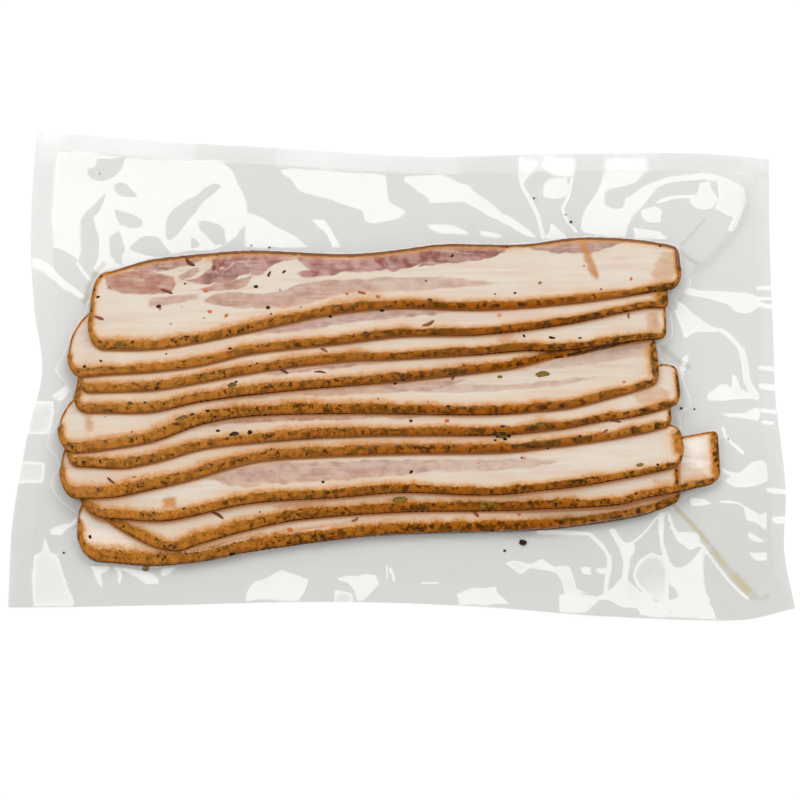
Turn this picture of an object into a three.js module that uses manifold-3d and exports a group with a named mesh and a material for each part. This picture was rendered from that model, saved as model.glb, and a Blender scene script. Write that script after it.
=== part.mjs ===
// A clear vacuum pouch lying on its back, with eleven slices of spice-crusted belly bacon shingled inside.
// Millimetres. +X runs along the slices, -Y is the side that their crusts face, +Z is up.
// The slices are laid from the lowest to the top one, and each is draped over those already there.

import * as THREE from 'three';
import Module from 'manifold-3d';

const wasm = await Module();
wasm.setup();

// ---- Driving dimensions ----

const touchGap = 0.3;
const film = { thick: 0.8, middle: [-137, 126, -85, 59], lift: 3.2, liftReach: 16, sag: 0.9 };
const slab = { thick: 2.3, crustBand: 3.6, rimRise: 0.35, rimWide: 1.1, backThin: 0.75 };
const drape = { slope: 0.3, cell: 1, blur: 2 };
const crag = { out: 0.35, up: 0.25 };
const columnPitch = 6.2;
const acrossSteps = [0.35, 0.7, 1];

// The pouch's four edges, drawn in by the vacuum, as [x, y] points.
const edges = {
  top: [[-150, 103.5], [-112, 100], [-60.5, 96.5], [-19.5, 93.5], [21.5, 91.5], [62.5, 93], [114, 93.5], [150, 91]],
  bottom: [[-149, -98.5], [-93.5, -97.5], [-27.5, -96], [29.5, -98], [76.5, -102], [127.5, -103.5], [148.5, -99]],
  left: [[-149, -98.5], [-149.5, -64], [-146, -27], [-142, -1.5], [-146.5, 24], [-150, 57], [-150, 103.5]],
  right: [[148.5, -99], [146, -76], [148, -51.5], [146.5, -14.5], [147, 4.5], [148, 50.5], [150, 91]],
};

// The pouch's grid lines: close together in the free flange, wide apart under the slices.
const columnLines = [0, 0.014, 0.028, 0.042, 0.08, 0.14, 0.2, 0.27, 0.34, 0.41, 0.48, 0.55, 0.62, 0.69, 0.76, 0.82,
  0.86, 0.885, 0.905, 0.925, 0.945, 0.965, 0.983, 1];
const rowLines = [0, 0.03, 0.06, 0.09, 0.13, 0.25, 0.36, 0.44, 0.5, 0.56, 0.64, 0.74, 0.79, 0.82, 0.85, 0.88, 0.91,
  0.94, 0.97, 1];

// Large folds of the film beside the slices: each runs from one point to another and fades out at both ends.
const folds = [
  { from: [-134, 62], to: [-96, 97], high: 2.2, wide: 7 },
  { from: [-118, 60], to: [-62, 92], high: 2.0, wide: 7 },
  { from: [-86, 62], to: [-30, 88], high: 1.6, wide: 6 },
  { from: [18, 86], to: [52, 62], high: 2.4, wide: 7 },
  { from: [62, 66], to: [76, 88], high: 1.8, wide: 6 },
  { from: [90, 62], to: [136, 84], high: 2.2, wide: 7 },
  { from: [118, 50], to: [140, 62], high: 1.8, wide: 6 },
  { from: [112, 8], to: [142, 18], high: 1.8, wide: 6 },
  { from: [124, -22], to: [143, -8], high: 1.8, wide: 6 },
  { from: [122, -44], to: [144, -58], high: 1.8, wide: 6 },
  { from: [108, -62], to: [136, -96], high: 2.4, wide: 6 },
  { from: [92, -66], to: [96, -98], high: 1.8, wide: 6 },
  { from: [52, -72], to: [66, -96], high: 1.8, wide: 6 },
  { from: [-8, -74], to: [14, -92], high: 1.4, wide: 6 },
  { from: [-122, -84], to: [-100, -94], high: 1.4, wide: 6 },
  { from: [-138, -40], to: [-146, -70], high: 1.2, wide: 5 },
];

// Each slice: the line of its crust, its width at the left and right end, and the corners of its two ends
// as [reach along the slice, reach across it]. Bits are the large flakes of spice on it, as [x, y, length,
// width, turn in degrees].
const sweptCorner = [24, 24];
const slices = [
  {
    name: 'slice_01', crust: [[-124, 4], [-99, 3.5], [-79.5, 6.5], [-60, 11], [-24.5, 20], [-1, 22.5], [31, 21.5],
      [62.5, 23.5], [94.5, 28], [111.5, 32]],
    back: [[-124, 41], [-119, 40], [-101, 45.5], [-81, 48], [-61, 49.5], [-21, 48], [-1, 50], [15.5, 52.5],
      [47.5, 52.5], [73, 55.5], [96, 54], [111.5, 49.5]],
    corners: { frontLeft: [8, 12], backLeft: [5, 16], frontRight: [6, 8], backRight: [4, 5] },
    bits: [[-91, 11, 3.2, 1.6, 20], [-53, 22.5, 2.2, 1.8, 0], [-6, 24, 3, 1.8, 5], [60, 33, 2.2, 1.4, 40]],
  },
  {
    name: 'slice_02', crust: [[-131.5, -7.5], [-114, -7], [-98.5, -6], [-79, -3.5], [-59.5, 1.5], [-24.5, 6.5],
      [-1, 10], [30.5, 11], [62.5, 15], [94, 22], [105.5, 23]], ends: [37, 22],
    corners: { frontLeft: [8, 10], backLeft: sweptCorner, frontRight: [2, 2], backRight: [3, 3] },
    bits: [[12, 14, 3.4, 1.8, 10], [66, 20, 3, 1.6, 15]],
  },
  {
    name: 'slice_03', crust: [[-127, -13], [-117.5, -14], [-98, -13.5], [-79, -10.5], [-59.5, -6.5], [-24.5, -1],
      [-1, 0.5], [30.5, 3], [46.5, 4.5], [62, 4], [93.5, 9], [104.5, 10.5]], ends: [34, 22],
    corners: { frontLeft: [5, 8], backLeft: sweptCorner, frontRight: [3, 3], backRight: [3, 3] },
    bits: [[61, 11, 3, 1.8, 20]],
  },
  {
    name: 'slice_04', crust: [[-128, -21], [-117.5, -22.5], [-98, -22.5], [-78.5, -18], [-40, -13], [-1, -9],
      [30.5, -4.5], [46, -2], [62, 2.5], [78, 7], [102, 15]], ends: [33, 18],
    corners: { frontLeft: [6, 6], backLeft: sweptCorner, frontRight: [3, 3], backRight: [3, 3] },
    bits: [[0, -4.5, 3.4, 2, 60]],
  },
  {
    name: 'slice_05', crust: [[-133.5, -38.5], [-116.5, -39], [-97.5, -35], [-78.5, -27], [-59, -23.5], [-24, -22.5],
      [30.5, -23], [61.5, -21.5], [77, -17.5], [93, -12.5], [100.5, -9.5]], ends: [30, 23],
    corners: { frontLeft: [8, 11], backLeft: [18, 19], frontRight: [3, 4], backRight: [5, 7] },
    bits: [[57, -7, 5, 3.2, 30], [-84, -26, 5, 2.2, 25], [88, -9.5, 2.6, 1.6, 60]],
  },
  {
    name: 'slice_06', crust: [[-129.5, -43.5], [-108.5, -46], [-97, -43.5], [-78, -37], [-58.5, -34.5],
      [-24, -32], [45.5, -31], [61, -29.5], [77, -26], [92.5, -23.5], [108.5, -18.5]], ends: [32, 20],
    corners: { frontLeft: [5, 6], backLeft: sweptCorner, frontRight: [4, 5], backRight: [7, 6] },
    bits: [[39, -27.5, 5.5, 3.6, 10]],
  },
  {
    name: 'slice_07', crust: [[-132, -56.5], [-111.5, -57.5], [-96.5, -54], [-77.5, -48.5], [-58.5, -42.5], [-39.5, -40.5],
      [-1, -39], [45.5, -38], [61, -36.5], [92, -31], [104.5, -27.5]], ends: [38, 21],
    corners: { frontLeft: [8, 12], backLeft: sweptCorner, frontRight: [2, 3], backRight: [3, 3] },
    bits: [[6, -37, 3, 1.6, 15], [100.5, -26, 2.4, 1.6, 70]],
  },
  {
    name: 'slice_08', crust: [[-124.5, -64], [-96.5, -66], [-87, -65.5], [-58.5, -59], [-24, -56.5], [-1, -54.5],
      [30, -55.5], [60.5, -54], [91.5, -48.5], [108.5, -44.5]], ends: [33, 19],
    corners: { frontLeft: [12, 12], backLeft: [16, 18], frontRight: [5, 7], backRight: [6, 7] },
    bits: [[-93, -61.5, 4.4, 2.4, 10], [99, -45, 2.6, 1.4, 30]],
  },
  {
    name: 'slice_09', crust: [[-117, -62], [-106, -69.5], [-94, -75.5], [-85, -77], [-78, -74.5], [-58, -68.5],
      [-39, -64.5], [-1, -61.5], [30, -61], [60.5, -60.5], [84, -59], [91.5, -57], [106, -54.5]], ends: [24, 20],
    corners: { frontLeft: [3, 3], backLeft: [10, 10], frontRight: [3, 4], backRight: [7, 8] },
    bits: [[31, -57.5, 7, 2.6, 0], [-1, -57.5, 6, 2.4, 10]],
  },
  {
    name: 'slice_10', crust: [[-124.5, -81], [-115, -80.5], [-96, -82], [-77, -80.5], [-58, -76.5], [-23.5, -71.5],
      [-1, -69.5], [45.5, -68], [60.5, -67], [91.5, -62], [107.5, -56]], ends: [34, 22],
    corners: { frontLeft: [10, 14], backLeft: [18, 18], frontRight: [3, 4], backRight: [3, 3] },
    bits: [[-33, -69, 2.6, 1.8, 45], [88, -60, 2.6, 1.4, 20]],
  },
  {
    name: 'slice_11', crust: [[52, -57.5], [84, -55.5], [104, -54], [115, -50.5], [123, -48.5]], ends: [27, 21],
    corners: { frontLeft: [3, 3], backLeft: [3, 3], frontRight: [5, 4], backRight: [2, 2] },
    bits: [],
  },
];

// From the lowest slice to the top one. The short eleventh slice lies between the tenth and the ninth.
const layingOrder = ['slice_10', 'slice_11', 'slice_09', 'slice_08', 'slice_07', 'slice_06', 'slice_05', 'slice_04',
  'slice_03', 'slice_02', 'slice_01'];

const looks = {
  pouch: { color: 0xd9dadb, roughness: 0.2, metalness: 0 },
  slice: { color: 0xd9b399, roughness: 0.4, metalness: 0 },
};

// ---- Small helpers ----

const clamp = (value, low, high) => Math.min(Math.max(value, low), high);
const mix = (a, b, t) => a + (b - a) * t;

function seededRandom(seed) {
  let state = seed;
  return () => {
    state = (state * 1664525 + 1013904223) % 4294967296;
    return state / 4294967296;
  };
}

// A smooth curve through [x, y] points, as y over x.
function curveAt(points, x) {
  const last = points.length - 1;
  const slopeAt = (k) => {
    const [before, after] = [points[Math.max(k - 1, 0)], points[Math.min(k + 1, last)]];
    return (after[1] - before[1]) / (after[0] - before[0]);
  };
  let k = 0;
  while (k < last - 1 && points[k + 1][0] < x) k += 1;
  const [[x0, y0], [x1, y1]] = [points[k], points[k + 1]];
  const span = x1 - x0;
  const t = clamp((x - x0) / span, 0, 1);
  const rise = t * t * (3 - 2 * t);
  return mix(y0, y1, rise) + span * (slopeAt(k) * t * (1 - t) ** 2 - slopeAt(k + 1) * t * t * (1 - t));
}

// How far an elliptical corner pulls an edge in, at a distance from the slice's end.
function cornerPull([along, across], distance) {
  const inside = clamp(1 - distance / along, 0, 1);
  return across * (1 - Math.sqrt(1 - inside * inside));
}

// ---- The pouch ----

function foldHeight(x, y) {
  let height = 0;
  for (const { from, to, high, wide } of folds) {
    const [dx, dy] = [to[0] - from[0], to[1] - from[1]];
    const along = clamp(((x - from[0]) * dx + (y - from[1]) * dy) / (dx * dx + dy * dy), 0, 1);
    const aside = Math.hypot(x - from[0] - along * dx, y - from[1] - along * dy) / wide;
    if (aside < 1) height += high * (1 - aside * aside) ** 2 * (0.35 + 0.65 * Math.sin(Math.PI * along));
  }
  return height;
}

// Height of the film's underside: flat where the slices lie, lifted and gently waved out in the flange.
function filmUnderside(x, y) {
  const [left, right, front, back] = film.middle;
  const out = Math.hypot(Math.max(left - x, x - right, 0), Math.max(front - y, y - back, 0));
  const free = 1 - Math.exp(-((out / film.liftReach) ** 2));
  const wave = film.sag * Math.sin(x / 19 + y / 31) * Math.cos(y / 23 - x / 47);
  return free * (film.lift + wave + foldHeight(x, y));
}

// A point on one of the pouch's edges, which is a curve over x for the long edges and over y for the short ones.
function longEdgePoint(points, t) {
  const x = mix(points[0][0], points.at(-1)[0], t);
  return [x, curveAt(points, x)];
}

function shortEdgePoint(points, t) {
  const y = mix(points[0][1], points.at(-1)[1], t);
  return [curveAt(points.map((point) => [point[1], point[0]]), y), y];
}

// A point inside the pouch's outline, from its four edges.
function outlinePoint(u, v) {
  const [top, bottom] = [longEdgePoint(edges.top, u), longEdgePoint(edges.bottom, u)];
  const [left, right] = [shortEdgePoint(edges.left, v), shortEdgePoint(edges.right, v)];
  const corners = [edges.bottom[0], edges.bottom.at(-1), edges.top[0], edges.top.at(-1)];
  return [0, 1].map((axis) => {
    const flat = mix(mix(corners[0][axis], corners[1][axis], u), mix(corners[2][axis], corners[3][axis], u), v);
    return mix(bottom[axis], top[axis], v) + mix(left[axis], right[axis], u) - flat;
  });
}

// ---- Closed sheets: a grid of top points over the same grid of bottom points ----

function closedSheet(columns, rows, topPoint, bottomPoint) {
  const positions = [];
  const faces = [];
  for (const point of [topPoint, bottomPoint]) {
    for (let i = 0; i < columns; i += 1) {
      for (let j = 0; j < rows; j += 1) positions.push(...point(i, j));
    }
  }
  const under = columns * rows;
  const quad = (a, b, c, d) => faces.push(a, b, c, a, c, d);
  for (let i = 0; i + 1 < columns; i += 1) {
    for (let j = 0; j + 1 < rows; j += 1) {
      const [a, b, c, d] = [i * rows + j, (i + 1) * rows + j, (i + 1) * rows + j + 1, i * rows + j + 1];
      quad(a, b, c, d);
      quad(d + under, c + under, b + under, a + under);
    }
    const [front, frontNext] = [i * rows, (i + 1) * rows];
    quad(front + under, frontNext + under, frontNext, front);
    const [back, backNext] = [front + rows - 1, frontNext + rows - 1];
    quad(back, backNext, backNext + under, back + under);
  }
  const lastColumn = (columns - 1) * rows;
  for (let j = 0; j + 1 < rows; j += 1) {
    quad(j, j + 1, j + 1 + under, j + under);
    quad(lastColumn + j + under, lastColumn + j + 1 + under, lastColumn + j + 1, lastColumn + j);
  }
  return { positions, faces };
}

function toManifold({ positions, faces }) {
  return new wasm.Manifold(new wasm.Mesh({
    numProp: 3, vertProperties: Float32Array.from(positions), triVerts: Uint32Array.from(faces),
  }));
}

function toGeometry({ positions, faces }) {
  const geometry = new THREE.BufferGeometry();
  geometry.setAttribute('position', new THREE.Float32BufferAttribute(positions, 3));
  geometry.setIndex(Array.from(faces));
  geometry.computeVertexNormals();
  return geometry;
}

function namedMesh(name, geometry, look) {
  const mesh = new THREE.Mesh(geometry, new THREE.MeshStandardMaterial(look));
  mesh.name = name;
  return mesh;
}

function makePouch() {
  const place = (i, j) => outlinePoint(columnLines[i], rowLines[j]);
  const bottomPoint = (i, j) => {
    const [x, y] = place(i, j);
    return [x, y, filmUnderside(x, y)];
  };
  const topPoint = (i, j) => {
    const [x, y, z] = bottomPoint(i, j);
    return [x, y, z + film.thick];
  };
  const sheet = closedSheet(columnLines.length, rowLines.length, topPoint, bottomPoint);
  return namedMesh('pouch', toGeometry(sheet), looks.pouch);
}

// ---- What lies on the film so far: a height over every cell of a flat grid ----

class Heap {
  constructor([left, right, front, back], cell) {
    Object.assign(this, { left, front, cell });
    this.wide = Math.round((right - left) / cell) + 1;
    this.deep = Math.round((back - front) / cell) + 1;
    this.heights = Float64Array.from({ length: this.wide * this.deep }, (_, k) => (
      filmUnderside(...this.place(k)) + film.thick));
  }

  place(k) {
    return [this.left + (k % this.wide) * this.cell, this.front + Math.floor(k / this.wide) * this.cell];
  }

  // One pass along each axis both ways, where `step` merges a cell with the one before it.
  sweep(heights, step) {
    const { wide, deep } = this;
    for (let row = 0; row < deep; row += 1) {
      for (let k = 1; k < wide; k += 1) step(heights, row * wide + k, row * wide + k - 1);
      for (let k = wide - 2; k >= 0; k -= 1) step(heights, row * wide + k, row * wide + k + 1);
    }
    for (let column = 0; column < wide; column += 1) {
      for (let k = 1; k < deep; k += 1) step(heights, k * wide + column, (k - 1) * wide + column);
      for (let k = deep - 2; k >= 0; k -= 1) step(heights, k * wide + column, (k + 1) * wide + column);
    }
    return heights;
  }

  // The surface that a limp slice takes up on the heap: it bridges steps at no more than the drape's slope.
  draped() {
    const fall = drape.slope * this.cell;
    const cover = this.sweep(this.heights.slice(), (h, here, before) => {
      h[here] = Math.max(h[here], h[before] - fall);
    });
    for (let pass = 0; pass < drape.blur; pass += 1) {
      this.sweep(cover, (h, here, before) => {
        h[here] = (h[here] + h[before]) / 2;
      });
    }
    return cover;
  }

  sample(heights, x, y) {
    const column = clamp((x - this.left) / this.cell, 0, this.wide - 1.001);
    const row = clamp((y - this.front) / this.cell, 0, this.deep - 1.001);
    const [i, j] = [Math.floor(column), Math.floor(row)];
    const k = j * this.wide + i;
    const near = mix(heights[k], heights[k + 1], column - i);
    return mix(near, mix(heights[k + this.wide], heights[k + this.wide + 1], column - i), row - j);
  }

  // Calls visit(k, i, j, s, t) for each cell that a slice's grid covers, with its place between grid lines.
  overlaid(grid, visit) {
    const { xs, ys } = grid;
    for (let k = 0; k < this.heights.length; k += 1) {
      const [x, y] = this.place(k);
      if (x < xs[0] || x > xs.at(-1)) continue;
      let i = 0;
      while (i < xs.length - 2 && xs[i + 1] < x) i += 1;
      const s = (x - xs[i]) / (xs[i + 1] - xs[i]);
      const line = ys[i].map((edge, j) => mix(edge, ys[i + 1][j], s));
      if (y < line[0] || y > line.at(-1)) continue;
      let j = 0;
      while (j < line.length - 2 && line[j + 1] < y) j += 1;
      visit(k, i, j, s, (y - line[j]) / (line[j + 1] - line[j]));
    }
  }
}

// ---- The slices ----

function outlineOf(slice) {
  const [left, right] = [slice.crust[0][0], slice.crust.at(-1)[0]];
  const { frontLeft, backLeft, frontRight, backRight } = slice.corners;
  const front = (x) => curveAt(slice.crust, x) + cornerPull(frontLeft, x - left) + cornerPull(frontRight, right - x);
  const rawBack = (x) => (slice.back ? curveAt(slice.back, x)
    : curveAt(slice.crust, x) + mix(...slice.ends, (x - left) / (right - left)));
  const back = (x) => rawBack(x) - cornerPull(backLeft, x - left) - cornerPull(backRight, right - x);
  return { left, right, front, back };
}

// Grid lines across the slice: close together in the rounded ends, evenly spaced between them.
function gridOf(slice) {
  const { left, right, front, back } = outlineOf(slice);
  const endSteps = [0, 1.2, 3.6, 7.6];
  const inner = Math.round((right - left - 2 * endSteps.at(-1)) / columnPitch);
  const middle = Array.from({ length: inner - 1 }, (_, k) => (
    mix(left + endSteps.at(-1), right - endSteps.at(-1), (k + 1) / inner)));
  const xs = [...endSteps.map((step) => left + step), ...middle, ...endSteps.map((step) => right - step).reverse()];
  const ys = xs.map((x) => {
    const near = front(x);
    const span = back(x) - near;
    const [rim, band] = [Math.min(slab.rimWide, span * 0.12), Math.min(slab.crustBand, span * 0.3)];
    return [0, rim, band, ...acrossSteps.map((part) => mix(band, span, part))].map((reach) => near + reach);
  });
  return { xs, ys };
}

function lieOn(heap, grid) {
  const cover = heap.draped();
  const under = grid.xs.map((x, i) => grid.ys[i].map((y) => heap.sample(cover, x, y)));
  const lift = under.map((line) => line.map(() => 0));
  heap.overlaid(grid, (k, i, j, s, t) => {
    const sheet = mix(mix(under[i][j], under[i + 1][j], s), mix(under[i][j + 1], under[i + 1][j + 1], s), t);
    const short = heap.heights[k] + touchGap - sheet;
    for (const [a, b] of [[i, j], [i + 1, j], [i, j + 1], [i + 1, j + 1]]) lift[a][b] = Math.max(lift[a][b], short);
  });
  return under.map((line, i) => line.map((z, j) => z + lift[i][j]));
}

// Height of the slice's top over its underside on each grid line: a raised crust rim, then the plain face.
function sliceTop(under, random) {
  const last = under[0].length - 1;
  return under.map((line) => line.map((z, j) => {
    if (j === 0) return z + slab.thick * 0.62;
    if (j === 1) return z + slab.thick + slab.rimRise + crag.up * (random() - 0.5);
    return z + (j === last ? slab.thick * slab.backThin : slab.thick);
  }));
}

// A flake of spice: a flat eight-sided grain, half sunk in the slice.
function flake([x, y, length, width, turn], z) {
  const grain = new THREE.OctahedronGeometry(1, 0);
  grain.scale(length / 2, width / 2, 0.75);
  grain.rotateZ(THREE.MathUtils.degToRad(turn));
  grain.translate(x, y, z);
  const corners = grain.getAttribute('position');
  const keys = new Map();
  const positions = [];
  const faces = [];
  for (let k = 0; k < corners.count; k += 1) {
    const corner = [corners.getX(k), corners.getY(k), corners.getZ(k)];
    const key = corner.map((value) => value.toFixed(4)).join();
    if (!keys.has(key)) keys.set(key, positions.push(...corner) / 3 - 1);
    faces.push(keys.get(key));
  }
  return toManifold({ positions, faces });
}

function makeSlice(slice, heap, number) {
  const random = seededRandom(101 + number);
  const grid = gridOf(slice);
  const under = lieOn(heap, grid);
  const top = sliceTop(under, random);
  const { xs, ys } = grid;
  const middle = xs.map((_, i) => (i > 0 && i < xs.length - 1 ? 1 : 0));
  const nudge = xs.map((_, i) => middle[i] * crag.out * (random() - 0.7));
  const sheet = closedSheet(xs.length, ys[0].length,
    (i, j) => [xs[i], ys[i][j] + (j === 0 ? nudge[i] : 0), top[i][j]],
    (i, j) => [xs[i], ys[i][j] + (j === 0 ? 0.4 : 0), under[i][j]]);
  heap.overlaid(grid, (k, i, j, s, t) => {
    const cover = mix(mix(top[i][j], top[i + 1][j], s), mix(top[i][j + 1], top[i + 1][j + 1], s), t);
    heap.heights[k] = Math.max(heap.heights[k], cover);
  });
  let solid = toManifold(sheet);
  for (const bit of slice.bits) solid = solid.add(flake(bit, heap.sample(heap.heights, bit[0], bit[1])));
  const { vertProperties, triVerts } = solid.getMesh();
  return namedMesh(slice.name, toGeometry({ positions: vertProperties, faces: triVerts }), looks.slice);
}

// ---- The pack ----

const pack = new THREE.Group();
pack.name = 'bacon_pack';
pack.add(makePouch());
const heap = new Heap([-140, 130, -90, 64], drape.cell);
for (const [number, name] of layingOrder.entries()) {
  pack.add(makeSlice(slices.find((slice) => slice.name === name), heap, number));
}

// The pouch's outline is centred over the origin, and the flat middle of its underside is at height 0.
const bounds = new THREE.Box3().setFromObject(pack);
pack.position.set(-(bounds.min.x + bounds.max.x) / 2, -(bounds.min.y + bounds.max.y) / 2, -bounds.min.z);

export default pack;
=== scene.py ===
import math

import bmesh
import bpy
import numpy as np
from bpy.props import FloatProperty, FloatVectorProperty, IntProperty, PointerProperty
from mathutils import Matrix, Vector
from mathutils.bvhtree import BVHTree


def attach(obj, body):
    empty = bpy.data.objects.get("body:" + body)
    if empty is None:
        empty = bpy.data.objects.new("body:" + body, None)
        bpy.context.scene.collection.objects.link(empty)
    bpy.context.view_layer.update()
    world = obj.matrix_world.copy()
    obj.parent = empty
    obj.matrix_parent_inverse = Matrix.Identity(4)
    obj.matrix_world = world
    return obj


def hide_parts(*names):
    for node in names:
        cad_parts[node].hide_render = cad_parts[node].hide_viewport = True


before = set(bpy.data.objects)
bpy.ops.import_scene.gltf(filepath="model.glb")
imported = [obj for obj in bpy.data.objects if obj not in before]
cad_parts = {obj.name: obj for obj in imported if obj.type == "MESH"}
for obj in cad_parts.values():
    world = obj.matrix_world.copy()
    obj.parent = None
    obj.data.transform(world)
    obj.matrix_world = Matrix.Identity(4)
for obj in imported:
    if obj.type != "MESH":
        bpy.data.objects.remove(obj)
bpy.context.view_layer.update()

bl_info = {
    "name": "Bacon vacuum pack",
    "version": (1, 0, 0),
    "blender": (4, 5, 0),
    "location": "View3D > Sidebar > Bacon pack",
    "description": "Dresses the packed model: marbled slices, spice, brine and wrinkled clear film",
    "category": "Add Mesh",
}

MM = 0.001
BODY = "root"

# ---------------------------------------------------------------------------------------------
# Shapes shared with the solids, in millimetres
# ---------------------------------------------------------------------------------------------

SLICE_THICK = 2.3
SWEPT = (24, 24)            # the long rounded corner of most slices' hidden back, at the left

# Each slice: the line of its crust as (x, y), its width at both ends or the line of its back, and the corners
# of its ends as (reach along, reach across): front left, back left, front right, back right.
SLICES = {
    "slice_01": dict(
        crust=[(-124, 4), (-99, 3.5), (-79.5, 6.5), (-60, 11), (-24.5, 20), (-1, 22.5), (31, 21.5),
               (62.5, 23.5), (94.5, 28), (111.5, 32)],
        back=[(-124, 41), (-119, 40), (-101, 45.5), (-81, 48), (-61, 49.5), (-21, 48), (-1, 50),
              (15.5, 52.5), (47.5, 52.5), (73, 55.5), (96, 54), (111.5, 51.3)],
        corners=[(8, 12), (5, 16), (5, 7), (3, 3.5)]),
    "slice_02": dict(
        crust=[(-131.5, -7.5), (-114, -7), (-98.5, -6), (-79, -3.5), (-59.5, 1.5), (-24.5, 6.5), (-1, 10),
               (30.5, 11), (62.5, 15), (94, 22), (105.5, 23)],
        ends=(37, 22), corners=[(8, 10), SWEPT, (2, 2), (3, 3)]),
    "slice_03": dict(
        crust=[(-127, -13), (-117.5, -14), (-98, -13.5), (-79, -10.5), (-59.5, -6.5), (-24.5, -1),
               (-1, 0.5), (30.5, 3), (46.5, 4.5), (62, 4), (93.5, 9), (104.5, 10.5)],
        ends=(34, 22), corners=[(5, 8), SWEPT, (3, 3), (3, 3)]),
    "slice_04": dict(
        crust=[(-128, -21), (-117.5, -22.5), (-98, -22.5), (-78.5, -18), (-40, -13), (-1, -9),
               (30.5, -4.5), (46, -2), (62, 2.5), (78, 7), (102, 15)],
        ends=(33, 18), corners=[(6, 6), SWEPT, (3, 3), (3, 3)]),
    "slice_05": dict(
        crust=[(-133.5, -38.5), (-116.5, -39), (-97.5, -35), (-78.5, -27), (-59, -23.5), (-24, -22.5),
               (30.5, -23), (61.5, -21.5), (77, -17.5), (93, -12.5), (100.5, -9.5)],
        ends=(30, 23), corners=[(8, 11), (18, 19), (3, 4), (5, 7)]),
    "slice_06": dict(
        crust=[(-129.5, -43.5), (-108.5, -46), (-97, -43.5), (-78, -37), (-58.5, -34.5), (-24, -32),
               (45.5, -31), (61, -29.5), (77, -26), (92.5, -23.5), (108.5, -18.5)],
        ends=(32, 20), corners=[(5, 6), SWEPT, (4, 5), (7, 6)]),
    "slice_07": dict(
        crust=[(-132, -56.5), (-111.5, -57.5), (-96.5, -54), (-77.5, -48.5), (-58.5, -42.5),
               (-39.5, -40.5), (-1, -39), (45.5, -38), (61, -36.5), (92, -31), (104.5, -27.5)],
        ends=(38, 21), corners=[(8, 12), SWEPT, (2, 3), (3, 3)]),
    "slice_08": dict(
        crust=[(-124.5, -64), (-96.5, -66), (-87, -65.5), (-58.5, -59), (-24, -56.5), (-1, -54.5),
               (30, -55.5), (60.5, -54), (91.5, -48.5), (108.5, -44.5)],
        ends=(33, 19), corners=[(12, 12), (16, 18), (5, 7), (6, 7)]),
    "slice_09": dict(
        crust=[(-117, -62), (-106, -69.5), (-94, -75.5), (-85, -77), (-78, -74.5), (-58, -68.5),
               (-39, -64.5), (-1, -61.5), (30, -61), (60.5, -60.5), (84, -59), (91.5, -57), (106, -54.5)],
        ends=(24, 20), corners=[(3, 3), (10, 10), (3, 4), (7, 8)]),
    "slice_10": dict(
        crust=[(-124.5, -81), (-115, -80.5), (-96, -82), (-77, -80.5), (-58, -76.5), (-23.5, -71.5),
               (-1, -69.5), (45.5, -68), (60.5, -67), (91.5, -62), (107.5, -56)],
        ends=(34, 22), corners=[(10, 14), (18, 18), (3, 4), (3, 3)]),
    "slice_11": dict(
        crust=[(52, -57.5), (84, -55.5), (104, -54), (115, -50.5), (123, -48.5)],
        ends=(27, 21), corners=[(3, 3), (3, 3), (5, 4), (2, 2)]),
}

# The pouch's four edges as (x, y), drawn in by the vacuum.
EDGES = dict(
    top=[(-150, 103.5), (-112, 100), (-60.5, 96.5), (-19.5, 93.5), (21.5, 91.5), (62.5, 93), (114, 93.5),
         (150, 91)],
    bottom=[(-149, -98.5), (-93.5, -97.5), (-27.5, -96), (29.5, -98), (76.5, -102), (127.5, -103.5),
            (148.5, -99)],
    left=[(-149, -98.5), (-149.5, -64), (-146, -27), (-142, -1.5), (-146.5, 24), (-150, 57),
          (-150, 103.5)],
    right=[(148.5, -99), (146, -76), (148, -51.5), (146.5, -14.5), (147, 4.5), (148, 50.5), (150, 91)],
)

PATCH_KINDS = ("lean", "mauve", "dark", "stain", "olive")

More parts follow.
